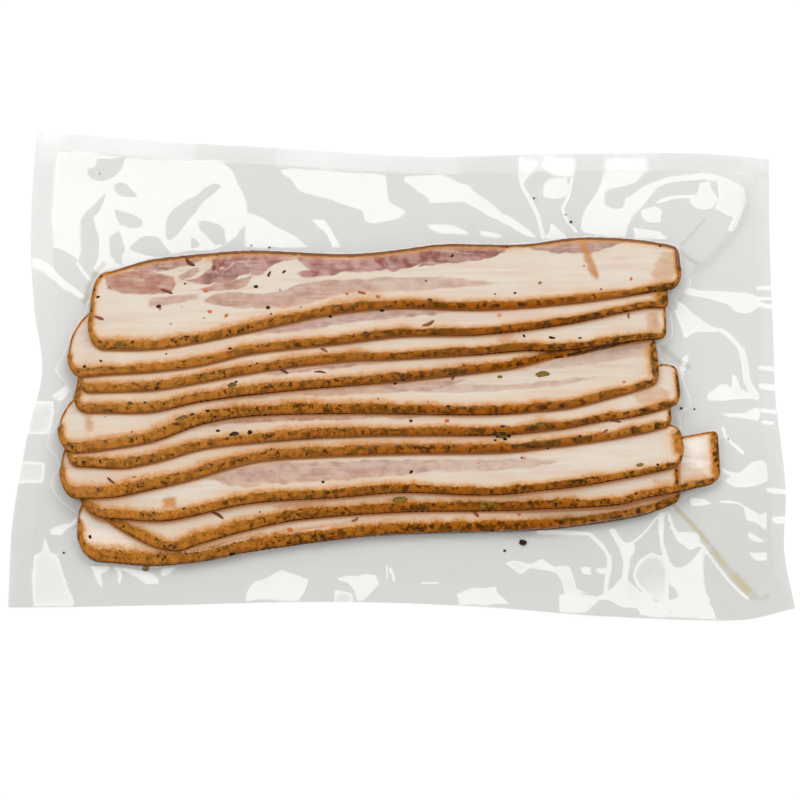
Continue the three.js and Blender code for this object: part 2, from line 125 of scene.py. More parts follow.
# Patches of lean, stain and herb on the slices' faces: slice number, kind, strength and outline.
PATCHES = [
    (1, "lean", 0.9, [(-119.2, 38.2), (-110.9, 39.9), (-100.9, 40.3), (-92, 38), (-89.8, 34.3),
        (-92.4, 30.5), (-100.3, 29.6), (-110.2, 29.6), (-117.3, 32.6)]),
    (1, "dark", 0.65, [(-109.8, 41.7), (-101.1, 45.7), (-87.2, 48), (-81.2, 48.4), (-80.6, 45.3),
        (-85.8, 43), (-94.9, 40.8), (-104.9, 39.9)]),
    (1, "dark", 0.7, [(-86.3, 35.7), (-80.7, 37.5), (-75.7, 41.6), (-75.1, 46.6), (-71.5, 47.9),
        (-70.6, 46.1), (-72.1, 42.5), (-73.3, 40.7), (-70.4, 40.6), (-67.7, 43.4), (-63.8, 44.3),
        (-60.1, 41.5), (-60.8, 38.6), (-64.7, 38.2), (-66.2, 35.8), (-71.8, 34.5), (-80.6, 34.2)]),
    (1, "mauve", 0.85, [(-71.5, 47), (-65.1, 48.8), (-56.3, 48.8), (-45, 48.3), (-42.5, 46.1),
        (-48.9, 44.2), (-53.6, 41.4), (-56, 38.6), (-60.7, 37.7), (-60.1, 41.5), (-63.8, 44.7),
        (-67.8, 43.8), (-70.5, 41.1), (-73.3, 41.6)]),
    (1, "lean", 0.7, [(-80.5, 31.8), (-74.6, 34.1), (-64.6, 35.8), (-60.7, 37.7), (-60.6, 34.3),
        (-63.7, 31.9), (-72.4, 30.6), (-78.4, 30.3)]),
    (1, "lean", 0.5, [(-100.9, 26.6), (-96.2, 28.1), (-86.3, 28.9), (-79.6, 29.8), (-82.2, 26.9),
        (-88, 25.1), (-94, 24.2), (-99.8, 23.2)]),
    (1, "lean", 0.6, [(-79, 26.4), (-75.5, 29.2), (-66.4, 30), (-55.6, 28.3), (-46.5, 30.7), (-40.6, 33.6),
        (-33.5, 35.1), (-20.7, 35.9), (-12, 35.8), (-11.9, 30.4), (-22.6, 29), (-28.5, 27.1),
        (-36.4, 24.2), (-44.3, 22.3), (-52.1, 21.8), (-64, 22), (-71.2, 23.2), (-77.3, 24.8)]),
    (1, "lean", 0.42, [(-14.8, 35.9), (-4.8, 36.8), (15.2, 36.8), (27.1, 35.8), (39, 33.7), (21.1, 31.3),
        (3.2, 29.9), (-10.7, 29.5), (-14.7, 30)]),
    (1, "mauve", 0.8, [(-42.5, 46.5), (-39, 47.9), (-28.9, 47.9), (-14.9, 47.4), (-11.2, 48.3),
        (-6.4, 44.1), (-4.8, 41.2), (-9.6, 40.3), (-16.8, 39.3), (-22.8, 39.4), (-30.7, 37.5),
        (-38.7, 37.1), (-42, 38.5), (-36.8, 40.5), (-39.7, 43.3)]),
    (1, "dark", 0.5, [(-40.8, 39.5), (-36, 40.5), (-32.8, 39), (-35.9, 36.6), (-40.3, 37.1)]),
    (1, "dark", 0.75, [(-12.8, 47.4), (-7.2, 49.6), (0, 51.4), (11.3, 53.3), (12.5, 49.7), (9.2, 44.1),
        (2.4, 41.2), (-4.8, 39.7), (-7.6, 41.2)]),
    (1, "dark", 0.7, [(9.7, 52.4), (23.4, 53.7), (36.2, 53.3), (44.3, 52.4), (41.4, 48.8), (35.3, 46),
        (27.3, 44.6), (15.2, 43.1), (6.4, 41.7), (10.4, 46.9)]),
    (1, "dark", 0.55, [(47.5, 52.4), (57.6, 52.8), (69.7, 54.1), (79.8, 55), (91.8, 53.9), (84.4, 50.7),
        (75.5, 48.4), (63.4, 48.1), (53.5, 49.6)]),
    (1, "dark", 0.45, [(-89.5, 37.6), (-85.7, 40.8), (-82.1, 42.1), (-80.8, 39.8), (-84.7, 37.5),
        (-87.5, 36.2)]),
    (2, "mauve", 0.6, [(-69.2, 10.7), (-59.9, 13.3), (-40.2, 16.6), (-24.5, 20.5), (-7.1, 22.5),
        (15.1, 22.9), (26.9, 22.4), (15, 20), (-7.1, 17.7), (-24.4, 15.2), (-40.1, 11.8), (-55.8, 9.9)]),
    (4, "mauve", 0.7, [(-54.6, -6.4), (-39.9, -4.1), (-28.2, -1.6), (-14.5, -0.1), (-0.8, 1.4),
        (-0.8, -0.5), (-14.5, -2.5), (-28.1, -4), (-39.8, -5.5), (-49.5, -7.4)]),
    (5, "lean", 0.6, [(-72.3, -16.9), (-63.1, -14.8), (-39.8, -12.2), (-24.2, -10.8), (-5.9, -9.4),
        (14.9, -7.9), (26.6, -7.3), (14.8, -12.1), (-0.8, -13.6), (-14.4, -14.5), (-28, -15.4),
        (-43.6, -14.9), (-57.2, -16.7), (-68.8, -17.4)]),
    (5, "lean", 0.4, [(-12.5, -10.8), (10.9, -9.8), (46.1, -9.9), (77.4, -6.6), (61.6, -11.3), (38.2, -13),
        (10.9, -13.5)]),
    (5, "lean", 0.35, [(14.9, -3.6), (46.4, -1.3), (62.1, 1.1), (78, 4.9), (93.9, 7.9), (98.5, 6.8),
        (97.5, 2.5), (85.7, 1.4), (62, -2.6), (38.5, -3.9)]),
    (6, "lean", 0.85, [(-76.4, -27.2), (-68.7, -25.1), (-59.1, -23), (-39.6, -22.7), (-14.4, -22.4),
        (7, -22.8), (7, -24.2), (-14.4, -24.6), (-27.9, -25), (-43.4, -25.4), (-58.9, -26.1),
        (-72.5, -27.2)]),
    (8, "lean", 0.55, [(-80.7, -48.8), (-74.7, -45.8), (-68.3, -43.3), (-60.6, -42.1), (-54, -41.8),
        (-47.1, -41), (-39.3, -42.5), (-27.7, -42.1), (-14.3, -41.3), (-0.8, -41.3), (14.6, -41.8),
        (14.6, -46.1), (-0.8, -47.8), (-14.2, -49), (-27.6, -50.3), (-39.1, -50.7), (-46.8, -51.5),
        (-53.7, -51.5), (-58.2, -52.7), (-64, -52.2), (-69, -51.3), (-72.2, -49)]),
    (8, "lean", 0.4, [(10.8, -40.9), (30.1, -41.2), (49.2, -41.2), (60.6, -43.3), (49.1, -45.6),
        (30, -45.7), (10.8, -46.6)]),
    (9, "mauve", 0.7, [(-49.8, -59.1), (-39.1, -57.4), (-28.4, -56.6), (-19.9, -56.6), (-31.4, -58.2),
        (-39.1, -59.5), (-45.6, -60.3)]),
    (9, "mauve", 0.9, [(-6.5, -57), (-2.7, -55.4), (3.8, -55.4), (5.4, -57.4), (1.1, -59), (-4.6, -59)]),
    (10, "lean", 0.35, [(-50.5, -69.4), (-39.1, -67), (-19.9, -64.6), (-8.4, -63.4), (-23.7, -66.2),
        (-39, -69.4)]),
    (7, "lean", 0.3, [(7, -31.8), (30.2, -31.2), (53.3, -31.3), (76.7, -26.9), (61, -31.5), (37.9, -33.2),
        (14.7, -33.6)]),
    (1, "stain", 0.8, [(70.6, 54.7), (73.4, 54.7), (75.6, 47.6), (77.4, 40.5), (77.6, 35.2), (75.2, 36.5),
        (73.8, 43.1), (72.4, 48.4)]),
    (1, "stain", 0.4, [(99.4, 36.3), (101.5, 43.1), (106, 48.6), (110.1, 47.9), (109.7, 37.9),
        (105.6, 32.4), (100.3, 32.4)]),
    (1, "stain", 0.35, [(-80, 49.7), (-74.7, 48.8), (-74.6, 44.3), (-79, 44.4)]),
    (3, "stain", 0.5, [(97.4, 21), (101, 21.1), (101.7, 10), (96.8, 9.6)]),
    (5, "stain", 0.45, [(-123.9, -19.2), (-120.7, -19.6), (-119.6, -30.9), (-122, -30.6)]),
    (8, "stain", 0.8, [(-91.4, -57.9), (-86.8, -57), (-86.3, -61.1), (-90.8, -61.2)]),
    (2, "stain", 0.8, [(101.3, 30.8), (106.2, 31.5), (105.6, 23.1), (100.8, 23.2)]),
    (6, "stain", 0.4, [(90.3, -14.8), (98.8, -9.8), (103.6, -13.5), (103.3, -18.2), (92.3, -19.5)]),
    (1, "stain", 0.3, [(-28.5, 26.6), (-7.1, 29.5), (-7.1, 26.6), (-28.5, 22.8)]),
    (1, "stain", 0.25, [(-22.6, 29.5), (-10.7, 30.9), (-8.7, 27.1), (-20.6, 24.7)]),
    (3, "stain", 0.4, [(37.5, 13.1), (43.4, 13), (43.3, 7.9), (38.2, 8)]),
    (5, "stain", 0.3, [(51.6, -17.7), (56.7, -16.9), (56.5, -21), (52.7, -20.9)]),
    (6, "stain", 0.5, [(50.8, -23.5), (55.8, -23.7), (54.8, -27.8), (51, -27.7)]),
    (11, "stain", 0.35, [(106.5, -28), (118.8, -27.4), (118.6, -29.9), (106.3, -31.3)]),
    (11, "stain", 0.3, [(105.6, -43.3), (117.1, -44), (117.3, -48.9), (105.1, -54)]),
    (4, "stain", 0.4, [(-40.1, 4.2), (-33.9, 5.2), (-33, 1.3), (-39.2, 0.3)]),
    (9, "stain", 0.4, [(97, -50), (102.7, -50.1), (103.1, -58.1), (98.5, -58.1)]),
    (5, "olive", 0.8, [(-90.5, -27.3), (-86.9, -22.9), (-82.3, -21.2), (-79.8, -23.8), (-82.8, -27.2),
        (-87.3, -29.8)]),
    (6, "olive", 0.7, [(48.3, -27.5), (58, -26.1), (59.4, -29.5), (49.4, -31)]),
    (9, "olive", 0.75, [(24.5, -57), (39.5, -56.6), (39.4, -60.7), (25.3, -60.6)]),
    (2, "olive", 0.5, [(9.1, 14.8), (26.8, 14.3), (26.7, 10.8), (9, 10)]),
    (4, "olive", 0.6, [(-39.8, -8.3), (-28.1, -7.3), (-28, -11.7), (-39.7, -12.7)]),
    (3, "olive", 0.5, [(11, 6.5), (46.4, 7.4), (46.3, 3.9), (11, 2)]),
    (10, "olive", 0.5, [(-75.2, -74.6), (-61.9, -72.6), (-61.7, -78.6), (-75, -80.2)]),
]

# Flakes of spice: x, y, length, width and turn in degrees.
FLAKES = {
    "pepper": [
        (37.2, -31.6, 1.8, 1.4, 20), (39.1, -30.8, 2.6, 2, 0), (41.4, -31.6, 2.2, 1.6, 60),
        (39.9, -32.9, 1.6, 1.2, 0), (36, -33.3, 1.2, 0.9, 0), (42.6, -30, 1.4, 1, 30),
        (-96.3, 23.2, 2.4, 2.2, 0), (-58.1, 32.3, 1.9, 1.8, 0), (-52.9, 21.8, 2, 1.9, 0),
        (-121, 28.5, 1.5, 1.2, 30), (-86.6, 34.3, 0.9, 0.8, 0), (9.6, 34.8, 0.9, 0.8, 0),
        (44.8, 28.7, 1.2, 1, 0), (36.9, 28.3, 0.8, 0.6, 0), (-47.2, 39.5, 1.8, 1, 50),
        (103.7, 51.3, 1.3, 1, 0), (-84.3, 8.2, 3.4, 2.2, -10), (-88.5, 6.5, 1.8, 1.4, 0),
        (-105.4, 6.5, 2, 1.4, -30), (20.1, 46.9, 1.6, 0.9, 40), (42.2, 51.1, 1.2, 0.9, 0),
        (-48.5, 30.7, 0.6, 0.6, 0), (-51.6, 18.9, 0.8, 0.7, 0), (-39.9, 22.2, 0.8, 0.6, 0),
        (72.7, 41.6, 0.7, 0.6, 0), (78.9, 29.9, 0.8, 0.7, 0), (-67.5, 10.7, 2, 1.4, 0),
        (-28.4, 18.7, 1.6, 1.2, 0), (-7.9, 21.6, 1.8, 1.4, 0), (11.1, 25.6, 2.2, 1.4, 0),
        (16.2, 23.7, 2, 1.6, 0), (46.7, 23.9, 2, 1.5, 0), (-117.7, -1.1, 1.6, 0.9, -30),
        (-92.3, 1.7, 0.8, 0.7, 0), (-124, -3.2, 2, 1.4, -40), (-67.3, 3.5, 1.4, 1.2, 0),
        (-14.6, 11.1, 1.8, 1.3, 0), (-9.8, 9.8, 1.8, 1.2, 0), (86.9, 21.8, 2, 1, 10), (79, 20.2, 1.4, 1, 0),
        (-116, -11.7, 1.6, 1.4, 0), (-95.3, -12.4, 2.4, 2, 0), (-59.3, -4.1, 2.2, 1.4, 20),
        (-56.6, -2.7, 1.6, 1.2, 0), (59, 9.3, 2.8, 1.2, -15), (60, 5.9, 2.2, 1.6, 0),
        (62.8, 5, 2.6, 1.6, 0), (48.1, 10.5, 1.6, 0.8, -60), (24.4, 4.8, 1.6, 1, 0), (70, 9.2, 1.4, 0.8, 0),
        (44.8, 5.7, 1.2, 1, 0), (-48.4, -1.3, 1.2, 0.9, 0), (-99.7, -18.9, 1.6, 1.3, 0),
        (-93.4, -19.3, 1.2, 1, 0), (-81.2, -16, 1.4, 1.2, 0), (-9.4, -7.2, 1.8, 1.4, 0),
        (-2, -6.2, 2.2, 1.6, 0), (0.4, -8.4, 2.2, 1.4, 0), (43.9, -0.3, 2.6, 1.8, 0),
        (18.8, -5.9, 1.2, 1, 0), (-2.7, -9.7, 1.4, 1, 0), (-103.6, -13.3, 0.6, 0.5, 0),
        (-64.6, -10, 1.4, 0.9, 0), (-75.3, -21.7, 2, 1.4, 0), (-72.5, -24.2, 2.2, 1.4, 0),
        (-81.4, -23.3, 2.2, 1.4, 30), (-104.1, -31.2, 0.7, 0.6, 0), (17.8, -20.2, 2.2, 1.4, 0),
        (35.7, -20.3, 2.6, 1.6, 0), (57.7, -20.1, 2.6, 1.4, 0), (-9.3, -16.7, 0.7, 0.6, 0),
        (10.1, -18.1, 0.6, 0.6, 0), (-115.1, -24.2, 0.5, 0.4, 0), (-119, -42.5, 1.4, 1.2, 0),
        (-102, -43.1, 1.4, 1, 0), (-71.3, -29.4, 1.6, 1.2, 0), (-64.6, -31.3, 4.4, 3, 0),
        (39.1, -28.4, 3, 2, 0), (-58.8, -30.6, 2, 2.4, 0), (-19.3, -29.5, 2, 1.2, 0),
        (3.5, -25.6, 1.6, 1.2, 0), (-50.6, -37.3, 1.4, 1, 60), (68.7, -32.8, 2.2, 1.8, 0),
        (97.8, -29.1, 1.2, 0.8, 0), (44.7, -37.1, 0.9, 0.8, 0), (56.2, -37.2, 0.9, 0.8, 0),
        (36, -30.4, 2, 1.4, 0), (-118.6, -50.8, 0.4, 0.4, 0), (-83.2, -61.5, 1.3, 1.1, 0),
        (-61.9, -58, 1.4, 1.1, 0), (-30.3, -50.7, 1.2, 1, 0), (3.5, -46.6, 1.8, 1.1, 60),
        (-36.7, -55.2, 1.3, 1, 0), (46.2, -40.9, 1.1, 0.8, 0), (98, -44.9, 1.2, 1, 0),
        (-99.9, -69.5, 1.8, 1.2, -20), (89.5, -55.5, 2.2, 1.5, 30), (-54.3, -61.9, 0.8, 0.6, 0),
        (83.2, -61.3, 1.4, 1, 0), (-43.6, -63.5, 1.4, 1, 0), (-110.1, -78.6, 1.8, 1.4, 0),
        (-95.9, -81, 1.8, 1.5, 0), (-33.3, -69.4, 2.2, 1.6, 90), (-32.9, -71.8, 1.8, 1.6, 90),
        (-64.8, -77.4, 2.4, 1.8, 0), (-119.2, -71, 1.6, 1.2, -60), (46.3, -72.3, 3, 2.4, 0),
        (39.3, -75.5, 1.2, 1, 0), (-129.4, -76.3, 0.9, 0.8, 0), (109.6, -17.1, 1.1, 1, 0),
        (114.7, -17.5, 0.9, 0.8, 0), (68.4, 63.6, 1.4, 1.2, 0), (66.5, 66.7, 0.9, 0.8, 0),
        (53.6, 73.5, 1, 0.8, 0), (-123.2, 83.9, 0.7, 0.6, 0), (-60.9, 53.3, 1, 0.8, 0),
        (-53.6, 52.4, 1, 0.8, 0), (127.3, -30, 0.7, 0.6, 0),
    ],
    "needle": [
        (-119, 17.9, 4.9, 0.9, -30), (-93.2, 30.5, 5.4, 1, -28), (-85, 43.9, 4.6, 1.2, -40),
        (-75.3, 41.6, 2.4, 0.9, 90), (-53.1, 38.1, 3, 0.8, 80), (10.3, 15.3, 4.8, 1.1, 26),
        (-111.2, -51.1, 3.6, 0.7, -40), (-70.4, -63.1, 4.6, 0.9, -30), (28.3, -61.5, 3.4, 1, -60),
        (78, -31, 3.8, 0.9, 48), (83.2, -25.9, 4.4, 0.8, -15), (-30.5, 3.8, 3, 0.8, -30),
        (-15.9, 29, 3.4, 0.9, -18), (-32, -5.5, 4.2, 0.6, -5), (-45.7, -5.5, 3.4, 0.8, -35),
        (89.6, 19.2, 2.4, 0.7, 90), (-75.3, 9, 2.4, 0.8, 80), (19.9, -7.1, 2, 0.7, 60),
        (24.7, -2.6, 2.6, 0.8, -50), (-18, -64.2, 2.6, 0.7, 30),
    ],
    "chilli": [
        (-78, 30.7, 1.8, 1.5, 0), (-75.9, 20.4, 1.9, 1.4, -30), (-69.4, 18.3, 2.2, 1.3, 60),
        (-78.1, 17.5, 1.1, 0.8, 0), (-91, 14.9, 0.9, 0.7, 0), (-9.5, 27.1, 1.8, 1.2, -20),
        (-21.8, 28.5, 1.3, 1.1, 0), (38.4, 19.2, 1.8, 1.6, 0), (86.6, -9.6, 1.3, 1.1, 0),
        (-42.9, -68.2, 2, 1.6, 0), (-102.6, -49.3, 1.8, 0.7, 15), (47, -41, 1.4, 0.9, 20),
        (44, 1.1, 1.2, 1, 0), (43.8, -19.6, 1.6, 1.2, 0), (91, 34.4, 1.6, 0.9, 80), (64.1, 2.9, 2, 1.4, 0),
        (-95.8, 22.2, 1.4, 1.1, 0), (44.9, -62.2, 1.6, 1.2, 0), (17.4, -25.5, 1.8, 1.4, 0),
        (-77, -23.3, 0.8, 0.8, 0), (29.3, -42.6, 1.4, 0.6, -20), (-87.1, 23.1, 0.6, 0.6, 0),
        (54.7, -18.7, 1.8, 0.9, 0), (1.2, -37.2, 1.6, 1, 0),
    ],
    "herb": [
        (55.2, -5.9, 5.6, 3.4, 2), (39.5, -31.4, 5.2, 5.6, 0), (54.9, 33.5, 1.6, 1, 40),
        (-109.7, 5.3, 6, 2.8, 0), (-85.6, -25.5, 5.6, 3, 28), (-105.4, -19.8, 2.4, 3, 0),
        (53.7, -28.2, 5.4, 2.4, 6), (32.2, -59, 9, 3, 0), (-0.8, -57, 6, 2.6, 5),
        (-66.1, -11.4, 3.6, 2.2, 10), (-68.6, -5.8, 3.2, 1.6, 0), (-22.4, 7.8, 3, 1.8, 0),
        (38.3, -6.3, 2, 1.4, 0), (-39.9, -1.7, 3.2, 1.6, 0), (-37.8, -10.6, 4.4, 2.4, 0),
        (-59, -21, 2.4, 1.8, 0), (-97.7, -82.6, 3, 2, 0), (91.2, -44.8, 3, 1.4, 10),
        (-32.2, 6.7, 3.4, 2, 0),
    ],
}

# Facets of the loose film, each painted over those before it: the way it falls in degrees (90 is backwards),
# its slope and its outline.
FACETS = [
    (95, 0.1, [(-141.3, 94), (-129.9, 93.5), (-111.3, 90.8), (-90.8, 89.9), (-73.6, 89.9), (-69.4, 85.3),
        (-65.1, 76.2), (-62.5, 69.9), (-63.1, 61.8), (-66.2, 56.4), (-70.1, 52.4), (-75.3, 50.2),
        (-87.3, 48.9), (-101.3, 46.2), (-113.9, 42.3), (-122.3, 40.1), (-129.3, 44.9), (-133.6, 49.3),
        (-140.2, 52.4), (-141.8, 65.8)]),
    (270, 0.05, [(-124.4, 90.8), (-115.4, 90.8), (-112.6, 91.7), (-114.4, 86.2), (-117.1, 83),
        (-121.8, 80.7), (-125.2, 81.7), (-128.5, 83.5), (-128.2, 86.2), (-125.4, 87.1)]),
    (270, 0.03, [(-117.7, 79.4), (-114.9, 80.3), (-111.6, 78.5), (-108.6, 75.8), (-107.3, 73.5),
        (-110.5, 73.5), (-114.6, 73.9), (-117.2, 76.2)]),
    (250, 0.05, [(-120.4, 75.3), (-121.7, 69.9), (-123.2, 66.3), (-125.1, 64.5), (-122.7, 56.9),
        (-122, 50.2), (-122.9, 44.9), (-124.3, 40.5), (-128.3, 41.4), (-130.5, 44.9), (-129.7, 51.1),
        (-130, 58.2), (-130.3, 62.7), (-128.5, 67.2), (-124.6, 70.3), (-122.7, 72.6)]),
    (270, 0.04, [(-116.4, 68.1), (-114.3, 67.2), (-110.2, 66.3), (-106, 63.6), (-104.7, 60.5),
        (-109.1, 59.6), (-114, 60.9), (-115.8, 64.5)]),
    (270, 0.03, [(-117.8, 55.5), (-114.7, 58.2), (-113, 56.9), (-111.2, 51.5), (-112.6, 48),
        (-111.6, 43.1), (-114.8, 43.6), (-117.4, 48)]),
    (270, 0.05, [(-110.3, 51.1), (-105.7, 55.1), (-100.9, 56), (-97.6, 54.7), (-95.4, 51.1), (-92.5, 48.4),
        (-97.3, 47.1), (-103.3, 47.6), (-108.2, 48.9)]),
    (290, 0.06, [(-95.1, 63.6), (-92, 68.1), (-88.1, 71.2), (-82.1, 74.8), (-80.2, 77.1), (-76.2, 79.4),
        (-72.9, 78.5), (-76.1, 75.8), (-80, 72.6), (-83.1, 68.1), (-86.6, 63.6), (-88.9, 60),
        (-90.8, 56.4), (-93.5, 54.2), (-95.2, 56.4), (-95.4, 61.8)]),
    (270, 0.03, [(-82.1, 62.7), (-78.5, 62.2), (-73.6, 60.9), (-71.5, 57.8), (-70.9, 52.4), (-75.3, 52),
        (-79.5, 56.4), (-81.2, 59.1)]),
    (270, 0.03, [(-85.5, 56.4), (-82.7, 54.7), (-81.3, 51.1), (-84.5, 50.2)]),
    (230, 0.08, [(-141, 51.5), (-136.9, 50.2), (-133.5, 47.1), (-129.9, 41.4), (-126.9, 37),
        (-132.1, 36.1), (-136.2, 39.2), (-139.2, 42.3), (-140.7, 46.7)]),
    (270, 0.04, [(-73.6, 89.9), (-71.3, 95.4), (-54.1, 94.5), (-50.6, 85.3), (-45.7, 82.6), (-42.3, 77.1),
        (-39.4, 73.9), (-29.2, 71.2), (-19.1, 68.1), (-16.2, 63.6), (-0.8, 61.4), (9.3, 59.1),
        (15.3, 54.2), (-0.8, 51.1), (-18.9, 50.2), (-36.2, 50.2), (-37.1, 52.4), (-41.1, 54.7),
        (-46, 58.2), (-51.3, 60.9), (-56.7, 65.4), (-61.6, 68.1), (-63.9, 77.1), (-68.2, 85.3)]),
    (90, 0.11, [(-49.8, 85.3), (-43.7, 86.2), (-29.4, 85.3), (-6.9, 83.5), (-5.7, 77.1), (-4.9, 71.2),
        (0.4, 68.1), (1.2, 65.8), (-2.8, 62.7), (-10.9, 60.5), (-15, 62.2), (-16.2, 66.7), (-25.2, 70.3),
        (-29.2, 72.1), (-37.4, 74.4), (-41.5, 76.2), (-44.8, 80.7)]),
    (70, 0.14, [(-36.8, 63.6), (-31.2, 62.7), (-27.9, 58.2), (-24.2, 51.1), (-27.8, 50.2), (-29.8, 54.7),
        (-33.1, 59.1)]),
    (100, 0.1, [(-63.6, 67.2), (-56.7, 64.5), (-47.2, 58.2), (-41.1, 54.7), (-37, 50.7), (-63.2, 50.7)]),
    (270, 0.04, [(-4.9, 85.3), (0, 83.9), (0.8, 79.4), (4.1, 73.5), (1.2, 68.1), (-2.8, 69.9),
        (-4.9, 72.6), (-5.7, 79.4)]),
    (75, 0.12, [(0.4, 83), (15.5, 83.5), (21.6, 80.7), (26.9, 78.5), (30.9, 74.4), (35.7, 70.3),
        (39.7, 66.7), (45.7, 62.7), (51.7, 58.2), (54.8, 54.7), (49.6, 56.4), (42.9, 60.9), (37.6, 63.6),
        (31.6, 67.2), (25.6, 70.8), (19.5, 71.2), (11.4, 69.9), (10.6, 72.6), (5.3, 77.1), (1.2, 80.3)]),
    (90, 0.12, [(10.1, 60.9), (21.4, 60.9), (25.4, 59.1), (27.4, 56.4), (23.4, 56.4), (15.3, 57.3),
        (11.3, 58.7)]),
    (90, 0.12, [(31.5, 58.2), (35.5, 58.2), (41.5, 55.5), (35.5, 54.7), (31.5, 56.4)]),
    (200, 0.05, [(27.8, 90.8), (47.5, 90.8), (48, 77.1), (53.7, 60), (47.7, 62.7), (39.7, 69),
        (31.7, 76.2), (27.7, 81.7)]),
    (60, 0.12, [(47.9, 90.8), (56.4, 89.4), (52.2, 83.9), (49.7, 80.3), (48.1, 83.9)]),
    (90, 0.12, [(58.5, 91.7), (70.4, 90.8), (70.1, 82.6), (62.8, 82.6), (59.6, 85.3), (56.4, 87.1)]),
    (90, 0.12, [(58.3, 80.7), (62.8, 82.1), (67.3, 81.7), (67.6, 78), (66.2, 73.5), (62.1, 72.6),
        (58.1, 73), (56.5, 75.3)]),
    (90, 0.12, [(60.7, 62.7), (63.8, 59.1), (67, 55.5), (57.7, 55.1), (59.8, 58.2)]),
    (90, 0.1, [(83.1, 90.8), (99.4, 90.8), (99.6, 85.3), (95, 80.7), (89.6, 78), (83.8, 77.1),
        (81.7, 74.8), (82, 69.9), (85.1, 68.1), (89.2, 68.5), (91, 72.6), (93.5, 73.9), (96.8, 77.1),
        (103.1, 80.3), (103, 77.1), (99.9, 72.6), (96.5, 68.1), (93.1, 64.5), (90.9, 60), (90, 55.5),
        (79.9, 56), (73.1, 57.3), (71.9, 60), (73.3, 65.8), (75.5, 70.3), (78.9, 74.8), (81.1, 79.4),
        (82.9, 85.3)]),
    (80, 0.16, [(121.4, 78.9), (124.7, 79.8), (126.1, 76.2), (127.5, 72.6), (125.7, 69), (122.8, 67.6),
        (119.2, 68.5), (116.9, 71.7), (118.7, 73.9), (120.4, 75.8)]),
    (70, 0.16, [(128.8, 81.2), (136, 78.5), (138.2, 73.9), (137.5, 69), (134.8, 64.5), (130.8, 65.4),
        (127.3, 68.1), (129.2, 72.6), (128.6, 77.1)]),
    (90, 0.14, [(97.3, 67.2), (102.6, 69), (105, 66.7), (104.7, 61.8), (100.3, 61.8), (97.5, 63.6)]),
    (90, 0.14, [(93.3, 59.6), (98.1, 58.7), (103.4, 58.2), (106.5, 54.7), (100, 54.7), (94, 55.1)]),
    (90, 0.17, [(108.8, 33.9), (119.1, 32.2), (129, 32.2), (137, 31.7), (141.7, 30), (142.7, 26.9),
        (140.6, 23.9), (137.7, 22.6), (132.6, 23.9), (130, 26.9), (124.9, 28.7), (119, 30), (113, 31.3)]),
    (70, 0.18, [(108, 26.9), (110.8, 26.9), (114.7, 23.5), (118.5, 20.4), (122.3, 17.4), (127.8, 15.7),
        (123, 14.8), (118.2, 14.8), (114.2, 13.5), (112.1, 11.8), (111.5, 15.3), (109.3, 20.4)]),
    (90, 0.16, [(119.7, -11.6), (122.9, -9.5), (125.8, -6.9), (128.5, -7.4), (129.1, -10.3), (130.3, -2.7),
        (132.1, -6.1), (132.7, -9.5), (139.2, -12.9), (132.5, -14.1), (119.5, -15)]),
    (90, 0.17, [(125.1, -20), (134.1, -19.6), (139.3, -17.9), (140.7, -20.8), (139, -22.9), (134, -22.1),
        (128.1, -21.7)]),
    (80, 0.18, [(131.6, -43.6), (134.9, -40.7), (139.6, -39.1), (141, -41.5), (141.4, -47.7),
        (135.1, -50.5), (128.5, -50.5), (124.8, -47.7), (128.8, -46)]),
    (90, 0.2, [(110.9, -55.4), (115.9, -55), (119.3, -57), (114.6, -58.3), (111.6, -57.9)]),
    (80, 0.2, [(131.5, -59.1), (134.6, -58.7), (137.5, -61.9), (139.9, -60.7), (139.4, -67.9),
        (135.4, -64.7), (132, -63.9)]),
    (80, 0.2, [(132.5, -68.3), (135.9, -69.9), (138.8, -72.3), (136.1, -72.7), (133.1, -71.1)]),
    (85, 0.2, [(131.7, -76.3), (139.3, -76.7), (139.1, -79.9), (134.5, -79.9)]),
    (80, 0.19, [(104.9, -68.3), (113.3, -68.7), (114.2, -73.9), (110, -75.5), (106.3, -72.7)]),
    (90, 0.19, [(111.7, -79.1), (114.9, -76.7), (114.7, -87.8), (112.9, -100.4), (103.5, -101.2),
        (93.8, -96.9), (101.4, -95.7), (109.1, -93.4), (109.4, -87.8), (105.7, -84.7), (109.6, -83.1)]),
    (90, 0.19, [(84.4, -85.9), (87.7, -89.8), (92.1, -93.8), (95.7, -96.9), (89.9, -99.6), (82.4, -98.1),
        (75, -94.1), (79.7, -90.6), (82, -87.8)]),
    (90, 0.2, [(39.2, -80.7), (43.1, -79.5), (48.8, -80.7), (53.8, -79.1), (58.3, -81.9), (64, -81.5),
        (65, -85.9), (66, -91), (71.3, -92.6), (61.8, -93.4), (60.8, -87.8), (58.6, -85.1), (54.4, -83.9),
        (48.7, -83.1), (44.9, -84.7), (41.9, -82.7)]),
    (90, 0.19, [(-58.8, -91.8), (-55.8, -87.8), (-50.2, -85.9), (-45.7, -83.1), (-40.7, -85.1),
        (-35.7, -87.1), (-36.8, -91.8), (-39.4, -95.7), (-59.4, -95.7)]),
    (90, 0.2, [(-26.6, -87.1), (-21.7, -85.9), (-14.1, -84.7), (-10.3, -85.1), (-8.4, -88.6),
        (-11.4, -91.8), (-14, -94.9), (-16.7, -95.7), (-18.6, -91.8), (-20.5, -88.6), (-23.5, -87.8)]),
    (90, 0.19, [(20.1, -92.6), (27.7, -90.2), (35.3, -90.2), (37.1, -93.8), (41.6, -97.3), (21.9, -97.7)]),
    (80, 0.19, [(-135.6, -67.5), (-131.1, -65.9), (-126.6, -65.1), (-124.4, -62.7), (-125, -65.9),
        (-128.7, -67.5), (-130.1, -70.3), (-134, -69.9)]),
    (85, 0.18, [(-136.9, -71.1), (-134.4, -75.9), (-131.3, -77.1), (-130.3, -80.7), (-129.2, -85.9),
